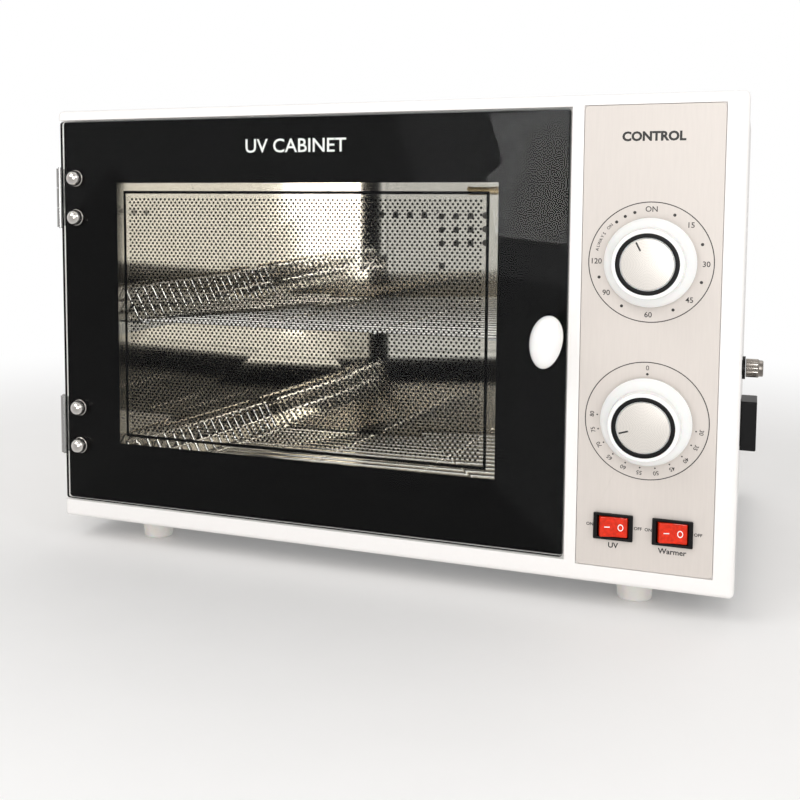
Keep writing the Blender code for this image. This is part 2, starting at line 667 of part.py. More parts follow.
def make_catch():
    front = GLASS_THICKNESS + 1.2 * MM + 2 * GAP + 2.2 * MM
    add_part("magnetic_catch", block_mesh((
        (104 * MM, front, HANDLE_Z - 10 * MM), (117.5 * MM, front + 16 * MM, HANDLE_Z + 10 * MM))),
        DARK_PLASTIC, (HANDLE_X, front, HANDLE_Z))


def make_door_switch():
    body_front = DOOR_REBATE_DEPTH + FRAME_SKIN + GAP + 1.5 * MM
    housing = add_part("door_switch_body", block_mesh((
        (PLUNGER_X - 7 * MM, body_front, PLUNGER_Z - 10 * MM),
        (PLUNGER_X + 7 * MM, body_front + 20 * MM, PLUNGER_Z + 10 * MM))),
        DARK_PLASTIC, (PLUNGER_X, body_front, PLUNGER_Z))
    cut(housing, cut_rods(
        "plunger_guide", [(PLUNGER_X, body_front - 4 * MM, PLUNGER_Z)], 16 * MM, 2.6 * MM, "Y", 20))
    tip = GLASS_THICKNESS + GAP
    stem = body_front + 7 * MM
    plunger = [(0, -tip), (1.6 * MM, -tip), (2.2 * MM, -tip - 0.8 * MM), (2.2 * MM, -stem), (0, -stem)]
    turned("door_switch_plunger", plunger, WHITE_PLASTIC, (PLUNGER_X, 0, PLUNGER_Z), PLUNGER)


# ---------------------------------------------------------------- controls


def make_control_panel():
    front = GAP
    panel = add_part("control_panel", block_mesh((
        (PANEL_LEFT, front, PANEL_BOTTOM), (PANEL_RIGHT, front + PANEL_SHEET, PANEL_TOP))),
        PANEL_GREY, (DIAL_X, front, PANEL_BOTTOM))
    shafts = [(DIAL_X, -4 * MM, z) for z in (TIMER_Z, THERMOSTAT_Z)]
    windows = [
        ((x - ROCKER_BEZEL[0] / 2 + 1 * MM, -4 * MM, ROCKER_Z - ROCKER_BEZEL[1] / 2 + 1 * MM),
         (x + ROCKER_BEZEL[0] / 2 - 1 * MM, 6 * MM, ROCKER_Z + ROCKER_BEZEL[1] / 2 - 1 * MM))
        for x in ROCKER_X.values()
    ]
    cut(panel, cut_rods("shaft_holes", shafts, 12 * MM, 4.4 * MM, "Y", 24),
        cut_blocks("rocker_windows", *windows))


def make_knobs():
    """Flared knobs turned about the shafts, each with an inset disc that carries the pointer line."""
    for name, z, group in (("timer", TIMER_Z, TIMER), ("thermostat", THERMOSTAT_Z, THERMOSTAT)):
        at = (DIAL_X, 0, z)
        recess = 1.2 * MM
        clearance = 2.3 * MM
        profile = [
            (0, KNOB_HEIGHT - recess), (INSERT_RADIUS + GAP, KNOB_HEIGHT - recess),
            (INSERT_RADIUS + GAP, KNOB_HEIGHT), (KNOB_RADIUS - 1.2 * MM, KNOB_HEIGHT),
            (KNOB_RADIUS - 0.35 * MM, KNOB_HEIGHT - 0.35 * MM), (KNOB_RADIUS, KNOB_HEIGHT - 1.2 * MM),
        ]
        flare = KNOB_SKIRT_RADIUS - KNOB_RADIUS
        for step in range(6):
            angle = math.radians(18 * step)
            profile.append((
                KNOB_RADIUS + flare * (1 - math.cos(angle)),
                8.5 * MM - 6 * MM * math.sin(angle) + 0.6 * MM))
        rim = KNOB_SKIRT_RADIUS
        profile += [
            (rim, clearance - 0.9 * MM), (rim - 1.5 * MM, clearance - 0.9 * MM),
            (rim - 4 * MM, 6 * MM), (KNOB_RADIUS - 2 * MM, 12 * MM), (6.5 * MM, 12 * MM),
            (6.5 * MM, 4 * MM), (SHAFT_RADIUS + GAP, 4 * MM), (SHAFT_RADIUS + GAP, 14 * MM), (0, 14 * MM),
        ]
        turned(f"{name}_knob", profile, WHITE_PLASTIC, at, group, steps=40)
        disc = [
            (0, KNOB_HEIGHT - 0.1 * MM), (INSERT_RADIUS - 0.3 * MM, KNOB_HEIGHT - 0.1 * MM),
            (INSERT_RADIUS, KNOB_HEIGHT - 0.4 * MM), (INSERT_RADIUS, KNOB_HEIGHT - recess + GAP),
            (0, KNOB_HEIGHT - recess + GAP),
        ]
        turned(f"{name}_knob_insert", disc, CHAMPAGNE, at, group, steps=40)
        back = PANEL_SHEET + 9 * MM
        shaft = [(0, 13.6 * MM), (SHAFT_RADIUS, 13.6 * MM), (SHAFT_RADIUS, -back), (0, -back)]
        turned(f"{name}_shaft", shaft, BRASS, at, group)


def make_movements():
    behind = GAP + PANEL_SHEET + 4 * MM
    for name, z, size, depth in (
            ("timer_movement", TIMER_Z, 44 * MM, 34 * MM),
            ("thermostat_body", THERMOSTAT_Z, 34 * MM, 26 * MM)):
        bm = block_mesh((
            (DIAL_X - size / 2, behind, z - size / 2), (DIAL_X + size / 2, behind + depth, z + size / 2)))
        body = union(name, [bm, rod_mesh(
            (DIAL_X, -0.6 * MM, z), behind + 3 * MM, 4.0 * MM, "Y", 24)],
            MOVEMENT, (DIAL_X, behind, z))
        cut(body, cut_rods(
            f"{name}_bore", [(DIAL_X, -5 * MM, z)], behind + 14 * MM, SHAFT_RADIUS + GAP, "Y", 20))


def make_capillary():
    """Thermostat sensor: a thin tube from the thermostat body, through the liner wall, to its bulb."""
    start_x = DIAL_X - 12 * MM
    route = [
        (start_x, 32.2 * MM, THERMOSTAT_Z + 10 * MM), (start_x, 44 * MM, THERMOSTAT_Z + 16 * MM),
        (start_x - 8 * MM, 70 * MM, THERMOSTAT_Z + 60 * MM),
        (start_x - 20 * MM, 100 * MM, SENSOR_Z - 26 * MM), (126 * MM, SENSOR_Y - 2 * MM, SENSOR_Z - 4 * MM),
        (114 * MM, SENSOR_Y, SENSOR_Z), (80 * MM, SENSOR_Y, SENSOR_Z),
    ]
    curve = bpy.data.curves.new("capillary", "CURVE")
    curve.dimensions = "3D"
    curve.bevel_depth = 1.1 * MM
    curve.bevel_resolution = 2
    curve.use_fill_caps = True
    spline = curve.splines.new("POLY")
    spline.points.add(len(route) - 1)
    for point, place in zip(spline.points, route):
        point.co = (*place, 1)
    obj = bpy.data.objects.new("capillary_curve", curve)
    CUTTERS.objects.link(obj)
    graph = bpy.context.evaluated_depsgraph_get()
    mesh = bpy.data.meshes.new_from_object(obj.evaluated_get(graph))
    bpy.data.objects.remove(obj)
    bm = bmesh.new()
    bm.from_mesh(mesh)
    bmesh.ops.remove_doubles(bm, verts=bm.verts, dist=0.00001)
    bulb_start = (30 * MM, SENSOR_Y, SENSOR_Z)
    bulb = rod_mesh(bulb_start, 56 * MM, 2.6 * MM, "X", 16)
    union("thermostat_sensor", [bm, bulb], BRASS, bulb_start)


def rocker_outline():
    """The rocker in section: a shallow V face, round ends about the pivot and a tapered heel."""
    end = 7.9 * MM
    right = [(end * math.cos(math.radians(a)), -end * math.sin(math.radians(a))) for a in (25, 12, 0, -10)]
    heel = [(3.6 * MM, 4.6 * MM)]
    side = right + heel
    mirrored = [(-x, y) for x, y in reversed(side)]
    return [(0, -2.5 * MM)] + side + mirrored


def make_rockers():
    for name, x in ROCKER_X.items():
        width, height = ROCKER_BEZEL
        z = ROCKER_Z
        group = ROCKERS[name]
        body = union(f"{name}_switch_body", [
            block_mesh(((x - width / 2, -2 * MM, z - height / 2), (x + width / 2, 0, z + height / 2))),
            block_mesh((
                (x - width / 2 + 1.3 * MM, -1 * MM, z - height / 2 + 1.3 * MM),
                (x + width / 2 - 1.3 * MM, 22 * MM, z + height / 2 - 1.3 * MM)))],
            BLACK_PLASTIC, (x, 0, z))
        cut(body, cut_blocks(f"{name}_switch_well", (
            (x - 8.3 * MM, -4 * MM, z - 5.9 * MM), (x + 8.3 * MM, 8 * MM, z + 5.9 * MM))))
        bm = outline_prism(
            [(x + u, ROCKER_AXIS_Y + v) for u, v in rocker_outline()], z - 5.6 * MM, z + 5.6 * MM)
        rest = Matrix.Rotation(ROCKER_SWING / 2, 4, "Z")
        pivot = Vector((x, ROCKER_AXIS_Y, z))
        bmesh.ops.rotate(bm, verts=bm.verts, cent=pivot, matrix=rest.to_3x3())
        add_part(f"{name}_rocker", bm, RED_LENS, pivot, group)


# ---------------------------------------------------------------- electrics


def make_side_fittings():
    wall = RIGHT - 1.0 * MM
    y = SIDE_FITTING_Y
    cap = rod_mesh(
        (wall + 2.2 * MM + GAP, y, FUSE_Z), FUSE_CAP_LENGTH + RIGHT - wall - 2.2 * MM - GAP,
        FUSE_CAP_RADIUS, "X", 24)
    knob = add_part("fuse_cap", cap, DARK_CHROME, (wall, y, FUSE_Z), smooth=True)
    bevel(knob, 0.7 * MM, 2)
    holder = union("fuse_holder", [
        rod_mesh((wall + GAP, y, FUSE_Z), 1.9 * MM, 7.5 * MM, "X", 24),
        rod_mesh((wall - 34 * MM, y, FUSE_Z), 35 * MM, 4.9 * MM, "X", 24)],
        BLACK_PLASTIC, (wall, y, FUSE_Z))
    cut(holder, cut_rods("fuse_well", [(wall - 30 * MM, y, FUSE_Z)], 40 * MM, 3.4 * MM, "X", 20))
    fuse = rod_mesh((wall - 26 * MM, y, FUSE_Z), 20 * MM, 2.6 * MM, "X", 16)
    add_part("fuse", fuse, QUARTZ, (wall, y, FUSE_Z), smooth=True)
    inlet = union("power_inlet", [
        block_mesh((
            (wall + GAP, y - INLET_DEPTH / 2, INLET_Z - INLET_HEIGHT / 2),
            (RIGHT + INLET_PROUD, y + INLET_DEPTH / 2, INLET_Z + INLET_HEIGHT / 2))),
        block_mesh((
            (wall - 18 * MM, y - 10 * MM, INLET_Z - 13 * MM), (wall + 2 * MM, y + 10 * MM, INLET_Z + 13 * MM)))],
        BLACK_PLASTIC, (wall, y, INLET_Z))
    cut(inlet, cut_blocks("inlet_well", (
        (wall - 6 * MM, y - 8 * MM, INLET_Z - 11.5 * MM),
        (RIGHT + INLET_PROUD + 5 * MM, y + 8 * MM, INLET_Z + 11.5 * MM))))
    for number, offset in enumerate((-7 * MM, 0, 7 * MM)):
        blade_y = y + (2.5 * MM if number == 1 else -2.5 * MM)
        blade = block_mesh((
            (wall - 5.7 * MM, blade_y - 1 * MM, INLET_Z + offset - 2 * MM),
            (wall + 4 * MM, blade_y + 1 * MM, INLET_Z + offset + 2 * MM)))
        add_part(f"inlet_pin_{number + 1}", blade, BRASS, (wall, blade_y, INLET_Z + offset))


def make_electrics():
    pan = BOTTOM + 1.5 * MM + SHEET + GAP
    add_part("ballast", block_mesh(((126 * MM, 180 * MM, pan), (166 * MM, 240 * MM, pan + 34 * MM))),
             STEEL_DARK, (146 * MM, 210 * MM, pan))
    add_part("terminal_block", block_mesh(((124 * MM, 130 * MM, pan), (140 * MM, 165 * MM, pan + 14 * MM))),
             SOCKET_PLASTIC, (132 * MM, 148 * MM, pan))
    base = block_mesh(((176 * MM, 200 * MM, pan), (196 * MM, 226 * MM, pan + 7 * MM)))
    add_part("starter_socket", base, SOCKET_PLASTIC, (186 * MM, 213 * MM, pan))
    can = rod_mesh((186 * MM, 213 * MM, pan + 7 * MM + GAP), 33 * MM, 9 * MM, "Z", 24)
    starter = add_part("lamp_starter", can, WHITE_PLASTIC, (186 * MM, 213 * MM, pan), smooth=True)
    bevel(starter, 1.2 * MM, 2)


clear_scene()
PARTS = new_collection("uv_sterilizer_cabinet")
CUTTERS = new_collection("cutters")

WHITE_PAINT = material("white_paint", (0.93, 0.91, 0.89), 0.3)
WHITE_PLASTIC = material("white_plastic", (0.94, 0.93, 0.91), 0.18)
PANEL_GREY = material("panel_grey", (0.77, 0.72, 0.67), 0.45)
BLACK_GLASS = material("black_glass", (0.01, 0.01, 0.011), 0.05, alpha=0.55)
STAINLESS = material("stainless_steel", (0.66, 0.66, 0.65), 0.22, 1.0)
CHROME = material("chrome_wire", (0.82, 0.82, 0.82), 0.1, 1.0)
GALVANISED = material("galvanised_steel", (0.55, 0.56, 0.57), 0.42, 1.0)
STEEL_DARK = material("painted_steel", (0.2, 0.2, 0.21), 0.5)
BLACK_PLASTIC = material("black_plastic", (0.02, 0.02, 0.022), 0.35)
DARK_PLASTIC = material("dark_plastic", (0.08, 0.08, 0.085), 0.5)
RED_LENS = material("red_lens", (0.75, 0.02, 0.01), 0.15)
CHAMPAGNE = material("champagne_disc", (0.74, 0.69, 0.63), 0.35, 0.4)
BRASS = material("brass", (0.72, 0.55, 0.3), 0.3, 1.0)
QUARTZ = material("quartz_glass", (0.85, 0.88, 0.92), 0.08)
MICA = material("mica", (0.42, 0.36, 0.28), 0.6)
SOCKET_PLASTIC = material("socket_plastic", (0.85, 0.84, 0.8), 0.5)
FOOT_PLASTIC = material("foot_plastic", (0.82, 0.78, 0.73), 0.4)
MOVEMENT = material("movement_case", (0.5, 0.48, 0.42), 0.5)
DARK_CHROME = material("dark_chrome", (0.3, 0.28, 0.25), 0.2, 1.0)

GROUP_ORIGINS = {"cabinet": Vector((0, 0, 0))}
CABINET = empty("cabinet", (-sum(EXTENT_X) / 2, -sum(EXTENT_Y) / 2, 0))


def axis_empty(name, at):
    GROUP_ORIGINS[name] = Vector(at)
    return empty(name, at, CABINET)


DOOR = axis_empty("door_axis", (HINGE_X, HINGE_Y, 0))
TIMER = axis_empty("timer_axis", (DIAL_X, 0, TIMER_Z))
THERMOSTAT = axis_empty("thermostat_axis", (DIAL_X, 0, THERMOSTAT_Z))
PLUNGER = axis_empty("plunger_axis", (PLUNGER_X, 0, PLUNGER_Z))
ROCKERS = {
    name: axis_empty(f"{name}_rocker_axis", (x, ROCKER_AXIS_Y, ROCKER_Z)) for name, x in ROCKER_X.items()
}

make_front_frame()
make_outer_cover()
make_base_pan()
make_rear_panel()
make_feet()
make_liner()
make_baskets()
make_basket_rails()
make_lamp()
make_heater()
GLASS = make_glass()
make_hinges()
make_handle()
make_catch()
make_door_switch()
make_control_panel()
make_knobs()
make_movements()
make_capillary()
make_rockers()
make_side_fittings()
make_electrics()
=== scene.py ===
"""Finished look of a countertop ultraviolet tool cabinet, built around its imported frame.

Lengths are in metres. Places come from the frame's own boxes: X runs from the hinge side to the
control side, Y from the front to the back and Z up.
"""

import math

import bmesh
import bpy
from mathutils import Matrix, Vector


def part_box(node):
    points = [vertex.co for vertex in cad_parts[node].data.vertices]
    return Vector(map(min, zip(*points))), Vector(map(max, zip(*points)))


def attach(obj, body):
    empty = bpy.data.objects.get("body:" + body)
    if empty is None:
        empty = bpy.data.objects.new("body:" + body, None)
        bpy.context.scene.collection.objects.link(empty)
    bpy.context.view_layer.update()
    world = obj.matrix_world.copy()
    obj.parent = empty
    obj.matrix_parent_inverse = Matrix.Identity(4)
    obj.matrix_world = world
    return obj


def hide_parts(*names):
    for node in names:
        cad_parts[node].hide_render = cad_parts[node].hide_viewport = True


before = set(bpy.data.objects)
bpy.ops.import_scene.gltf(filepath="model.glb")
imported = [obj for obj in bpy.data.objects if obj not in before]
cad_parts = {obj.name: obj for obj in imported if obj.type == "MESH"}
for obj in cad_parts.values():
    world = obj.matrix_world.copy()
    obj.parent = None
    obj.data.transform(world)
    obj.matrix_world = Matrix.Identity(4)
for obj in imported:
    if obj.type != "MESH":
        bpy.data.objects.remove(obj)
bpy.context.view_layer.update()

bl_info = {
    "name": "UV Tool Cabinet",
    "version": (1, 0, 0),
    "blender": (4, 5, 0),
    "location": "View3D > Sidebar > UV Cabinet",
    "description": "Casing, glass door, wire baskets and controls of an ultraviolet tool cabinet",
    "category": "Object",
}

MM = 0.001
INK_DEPTH = 0.05 * MM
PANE_EDGE = 0.5 * MM
WELD = 0.002 * MM
CAPITAL_SHARE = 0.7

FRAME_LOW, FRAME_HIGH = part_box("front_frame")
GLASS_LOW, GLASS_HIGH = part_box("door_glass")
PLATE_LOW, PLATE_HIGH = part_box("control_panel")
MIDDLE_X = (FRAME_LOW.x + FRAME_HIGH.x) / 2
FRONT_Y = FRAME_LOW.y


def middle(node):
    low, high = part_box(node)
    return (low + high) / 2


# ---------------------------------------------------------------- finishes


def add_node(tree, kind, values=None, **links):
    """Adds a shader node, sets the sockets in `values` and feeds the sockets named in `links`."""
    node = tree.nodes.new(kind)
    for name, value in (values or {}).items():
        node.inputs[name].default_value = value
    for name, source in links.items():
        tree.links.new(source, node.inputs[name.replace("_", " ")])
    return node


def show_mix(tree, factor, first, second, output="Material Output"):
    """Shows the first shader where the factor is 0 and the second where it is 1."""
    mix = add_node(tree, "ShaderNodeMixShader", Fac=factor)
    tree.links.new(first, mix.inputs[1])
    tree.links.new(second, mix.inputs[2])
    tree.links.new(mix.outputs["Shader"], tree.nodes[output].inputs["Surface"])


def pattern_on(tree, pattern, size, stretch, centre):
    """A grey pattern on Object coordinates, with features about `size` across."""
    coords = add_node(tree, "ShaderNodeTexCoord")
    mapping = add_node(tree, "ShaderNodeMapping", {
        "Location": [-c * s for c, s in zip(centre, stretch)], "Scale": stretch,
    }, Vector=coords.outputs["Object"])
    vector = mapping.outputs["Vector"]
    if pattern == "spangle":
        texture = add_node(tree, "ShaderNodeTexVoronoi", {"Scale": 1 / size}, Vector=vector)
        return texture.outputs["Distance"]
    if pattern == "turned":
        texture = add_node(tree, "ShaderNodeTexWave", {"Scale": 1 / size, "Distortion": 0.4}, Vector=vector)
        texture.wave_type = "RINGS"
        texture.rings_direction = "Y"
        return texture.outputs["Fac"]
    texture = add_node(tree, "ShaderNodeTexNoise", {"Scale": 1 / size, "Detail": 3.0}, Vector=vector)
    return texture.outputs["Fac"]


def finish(name, colour, roughness, metallic=0.0, pattern="grain", size=2 * MM, stretch=(1, 1, 1),
           centre=(0, 0, 0), tone=0.03, gloss_change=0.04, relief=0.0, **sockets):
    """A finish whose colour, gloss and relief follow one pattern; `sockets` set the shader's constants."""
    mat = bpy.data.materials.new(name)
    mat.use_nodes = True
    tree = mat.node_tree
    shader = tree.nodes["Principled BSDF"]
    height = pattern_on(tree, pattern, size, stretch, centre)
    shades = add_node(tree, "ShaderNodeMix")
    shades.data_type = "RGBA"
    tree.links.new(height, shades.inputs["Factor"])
    darker = [c * (1 - tone) for c in colour]
    lighter = [min(1.0, c * (1 + tone)) for c in colour]
    shades.inputs[6].default_value = (*darker, 1)
    shades.inputs[7].default_value = (*lighter, 1)
    tree.links.new(shades.outputs[2], shader.inputs["Base Color"])
    gloss = add_node(tree, "ShaderNodeMapRange", {
        "To Min": max(0.0, roughness - gloss_change), "To Max": roughness + gloss_change,
    }, Value=height)
    tree.links.new(gloss.outputs["Result"], shader.inputs["Roughness"])
    shader.inputs["Metallic"].default_value = metallic
    if relief:
        bump = add_node(tree, "ShaderNodeBump", {"Strength": 0.6, "Distance": relief}, Height=height)
        tree.links.new(bump.outputs["Normal"], shader.inputs["Normal"])
    for socket, value in sockets.items():
        shader.inputs[socket.replace("_", " ")].default_value = value
    return mat


def clear_glass(name, tint, ior):
    """Clear glass that lets lamp light straight through to what stands behind it."""
    mat = finish(name, tint, 0.01, size=60 * MM, tone=0.01, gloss_change=0.008,
                 Transmission_Weight=1.0, IOR=ior)
    tree = mat.node_tree
    path = add_node(tree, "ShaderNodeLightPath")
    open_way = add_node(tree, "ShaderNodeBsdfTransparent", {"Color": (*tint, 1)})
    show_mix(tree, path.outputs["Is Shadow Ray"], tree.nodes["Principled BSDF"].outputs["BSDF"],
             open_way.outputs["BSDF"])
    return mat


def make_finishes(casing, door, controls):
    """Every finish of the cabinet by its name."""
    enamel = tuple(casing.enamel_colour)
    plate = tuple(controls.plate_colour)
    return {
        "enamel": finish("white_enamel", enamel, 0.3, size=1.6 * MM, tone=0.012, relief=0.006 * MM,
                         Coat_Weight=0.35, Coat_Roughness=0.06),
        "gloss": finish("white_gloss_plastic", (0.93, 0.925, 0.91), 0.14, size=9 * MM, tone=0.012,
                        gloss_change=0.03, relief=0.004 * MM, Coat_Weight=0.5, Coat_Roughness=0.04,
                        Subsurface_Weight=0.12, Subsurface_Scale=0.003),
        "plate": finish("satin_control_plate", plate, 0.46, 0.08, size=0.8 * MM, stretch=(1, 1, 0.06),
                        tone=0.04, relief=0.003 * MM),
        "border": finish("black_glass_print", (0.002, 0.002, 0.0022), 0.4, size=40 * MM, tone=0.3,
                         Specular_IOR_Level=0.0),
        "pane": clear_glass("coated_clear_glass", tuple(door.glass_tint), 1.2),
        "ink_black": finish("black_print", (0.02, 0.019, 0.018), 0.42, size=0.7 * MM, tone=0.2),
        "ink_white": finish("white_print", (0.92, 0.92, 0.9), 0.4, size=0.7 * MM, tone=0.03),
        "ink_grey": finish("grey_print", (0.028, 0.024, 0.022), 0.42, size=0.7 * MM, tone=0.15),
        "mirror_steel": finish("polished_stainless", (0.78, 0.74, 0.67), 0.06, 1.0, size=1.2 * MM,
                               stretch=(0.04, 1, 1), tone=0.05, gloss_change=0.02, relief=0.0012 * MM),
        "steel": finish("brushed_stainless", (0.66, 0.66, 0.65), 0.24, 1.0, size=0.5 * MM,
                        stretch=(1, 1, 0.05), tone=0.08, gloss_change=0.07, relief=0.002 * MM),
        "chrome": finish("bright_chrome", (0.9, 0.87, 0.83), 0.07, 1.0, size=5 * MM, tone=0.02,
                         gloss_change=0.03),
        "dark_chrome": finish("dark_nickel", (0.34, 0.31, 0.28), 0.2, 1.0, size=0.8 * MM,
                              stretch=(0.1, 1, 1), tone=0.12, gloss_change=0.06, relief=0.002 * MM),
        "galvanised": finish("galvanised_sheet", (0.58, 0.59, 0.6), 0.4, 1.0, pattern="spangle",
                             size=9 * MM, tone=0.12, gloss_change=0.1),
        "black": finish("satin_black_plastic", (0.007, 0.007, 0.0075), 0.36, size=0.6 * MM, tone=0.25,
                        relief=0.006 * MM, Specular_IOR_Level=0.18),
        "dark": finish("matte_dark_plastic", (0.07, 0.07, 0.073), 0.5, size=0.6 * MM, tone=0.2,
                       relief=0.008 * MM),
        "red": finish("red_lens", (0.72, 0.03, 0.008), 0.1, size=1.8 * MM, tone=0.4, gloss_change=0.04,
                      relief=0.02 * MM, Specular_IOR_Level=0.35, Coat_Weight=0.3, Coat_Roughness=0.04,
                      Subsurface_Weight=0.3, Subsurface_Radius=(0.004, 0.0006, 0.0003)),
        "brass": finish("brass", (0.72, 0.54, 0.29), 0.28, 1.0, size=1 * MM, tone=0.1, gloss_change=0.08),
        "quartz": clear_glass("quartz_tube", (0.93, 0.95, 0.97), 1.46),
        "cap_metal": finish("aluminium_cap", (0.78, 0.78, 0.77), 0.3, 1.0, size=0.6 * MM,
                            stretch=(0.1, 1, 1), tone=0.06),
        "mica": finish("mica_sheet", (0.42, 0.35, 0.26), 0.55, size=6 * MM, stretch=(1, 1, 4), tone=0.25,
                       relief=0.01 * MM),
        "socket": finish("socket_plastic", (0.84, 0.83, 0.78), 0.48, size=0.8 * MM, tone=0.04,
                         relief=0.006 * MM),
        "foot": finish("foot_plastic", (0.86, 0.83, 0.79), 0.33, size=1.5 * MM, tone=0.03,
                       relief=0.005 * MM, Subsurface_Weight=0.3, Subsurface_Scale=0.004),
        "movement": finish("movement_case", (0.5, 0.47, 0.4), 0.5, size=0.8 * MM, tone=0.1,
                           relief=0.006 * MM),
        "case": finish("dark_enamelled_case", (0.16, 0.16, 0.17), 0.42, size=1 * MM, tone=0.12,
                       relief=0.006 * MM),
    }


FINISHES = {}

# ---------------------------------------------------------------- shaping


def add_piece(name, bm, finish_name, body, replaced=(), sharp=35):
    """Turns a finished bmesh into a piece that rides on a body and stands for the replaced nodes."""
    mesh = bpy.data.meshes.new(name)
    bm.to_mesh(mesh)
    bm.free()
    mesh.shade_smooth()
    mesh.set_sharp_from_angle(angle=math.radians(sharp))
    mesh.materials.append(FINISHES[finish_name])
    obj = bpy.data.objects.new(name, mesh)
    bpy.context.scene.collection.objects.link(obj)
    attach(obj, body)
    if replaced:
        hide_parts(*replaced)
    return obj


def dress(finish_name, *nodes):
    """Gives frame nodes that stay visible their finish."""
    for node in nodes:
        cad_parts[node].material_slots[0].material = FINISHES[finish_name]


def soften(obj, width, segments=3, angle=50):
    """Rounds an object's sharp edges and keeps its flat faces flat in the light."""
    edge = obj.modifiers.new("edges", "BEVEL")
    edge.width = width
    edge.segments = segments
    edge.limit_method = "ANGLE"
    edge.angle_limit = math.radians(angle)
    flat = obj.modifiers.new("flats", "WEIGHTED_NORMAL")
    flat.keep_sharp = True


def copy_of(node):
    """A merged copy of a frame node's mesh, with its flat areas joined into whole faces."""
    bm = bmesh.new()
    bm.from_mesh(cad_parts[node].data)
    bmesh.ops.remove_doubles(bm, verts=bm.verts, dist=0.01 * MM)
    bmesh.ops.dissolve_limit(
        bm, angle_limit=math.radians(0.5), use_dissolve_boundaries=False, verts=bm.verts, edges=bm.edges)
    return bm


def refined(name, node, finish_name, width, body="cabinet", segments=3):
    """A frame node made again with rounded edges."""
    obj = add_piece(name, copy_of(node), finish_name, body, (node,), sharp=40)
    soften(obj, width, segments)
    return obj


def merge_into(bm, other, matrix=None):
    """Adds another bmesh, moved by a matrix, and frees it."""
    mesh = bpy.data.meshes.new("part")
    other.to_mesh(mesh)
    other.free()
    if matrix:
        mesh.transform(matrix)
    bm.from_mesh(mesh)
    bpy.data.meshes.remove(mesh)


def fillet(corners, steps=5):
    """A 2D line through (u, v, radius) corners with each corner rounded by its radius."""
    line = []
    for index, (u, v, radius) in enumerate(corners):
        here = Vector((u, v))
        if radius <= 0 or index in (0, len(corners) - 1):
            line.append(here)
            continue
        before = (Vector(corners[index - 1][:2]) - here).normalized()
        after = (Vector(corners[index + 1][:2]) - here).normalized()
        half = before.angle(after) / 2
        nearly_straight = half > math.radians(89)
        if nearly_straight:
            line.append(here)
            continue
        reach = radius / math.tan(half)
        centre = here + (before + after).normalized() * radius / math.sin(half)
        start, end = here + before * reach - centre, here + after * reach - centre
        swing = start.angle_signed(end)
        for step in range(steps + 1):
            turn = Matrix.Rotation(-swing * step / steps, 2)
            line.append(centre + turn @ start)
    return line


def spun(line, centre, axis="Y", steps=64):
    """A closed shape turned about an axis through `centre`.

    The line's points are (radius, reach); reach runs towards -Y, +X or +Z.
    """
    bm = bmesh.new()
    spin_axis = {"X": (1, 0, 0), "Y": (0, 1, 0), "Z": (0, 0, 1)}[axis]
    places = {
        "Y": lambda radius, reach: (radius, -reach, 0),
        "X": lambda radius, reach: (reach, radius, 0),
        "Z": lambda radius, reach: (radius, 0, reach),
    }[axis]
    verts = [bm.verts.new(Vector(places(*point)) + Vector(centre)) for point in line]
    edges = [bm.edges.new(pair) for pair in zip(verts, verts[1:])]
    bmesh.ops.spin(
        bm, geom=verts + edges, cent=centre, axis=spin_axis, angle=math.tau, steps=steps, use_merge=True)
    bmesh.ops.remove_doubles(bm, verts=bm.verts, dist=WELD)
    bmesh.ops.recalc_face_normals(bm, faces=bm.faces)
    return bm


def mesh_of(obj):
    """A bmesh of what an object shows; the object is removed."""
    bpy.context.scene.collection.objects.link(obj)
    graph = bpy.context.evaluated_depsgraph_get()
    mesh = bpy.data.meshes.new_from_object(obj.evaluated_get(graph))
    bm = bmesh.new()
    bm.from_mesh(mesh)
    bpy.data.objects.remove(obj)
    bpy.data.meshes.remove(mesh)
    bmesh.ops.remove_doubles(bm, verts=bm.verts, dist=WELD)
    return bm


FACE_FRONT = Matrix.Rotation(math.radians(90), 4, "X")


def flat_shape(loops, front, back):
    """A plate whose outline is the first (x, z) loop and whose holes are the others."""
    curve = bpy.data.curves.new("outline", "CURVE")
    curve.dimensions = "2D"
    curve.fill_mode = "BOTH"
    curve.extrude = (back - front) / 2
    for loop in loops:
        spline = curve.splines.new("POLY")
        spline.points.add(len(loop) - 1)
        for point, (x, z) in zip(spline.points, loop):
            point.co = (x, z, 0, 1)
        spline.use_cyclic_u = True
    bm = mesh_of(bpy.data.objects.new("outline", curve))
    bmesh.ops.transform(
        bm, matrix=Matrix.Translation((0, (front + back) / 2, 0)) @ FACE_FRONT, verts=bm.verts)
    bmesh.ops.recalc_face_normals(bm, faces=bm.faces)
    return bm


def circle(x, z, radius, steps=48):
    turns = [math.tau * step / steps for step in range(steps)]
    return [(x + radius * math.cos(turn), z + radius * math.sin(turn)) for turn in turns]


def rectangle(low, high, radius=0.0, steps=5):
    """A rectangle between two (x, z) corners with rounded corners."""
    if radius <= 0:
        return [(low[0], low[1]), (high[0], low[1]), (high[0], high[1]), (low[0], high[1])]
    loop = []
    centres = (
        (high[0] - radius, high[1] - radius, 0), (low[0] + radius, high[1] - radius, 90),
        (low[0] + radius, low[1] + radius, 180), (high[0] - radius, low[1] + radius, 270),
    )
    for x, z, start in centres:
        for step in range(steps + 1):
            turn = math.radians(start + 90 * step / steps)
            loop.append((x + radius * math.cos(turn), z + radius * math.sin(turn)))
    return loop


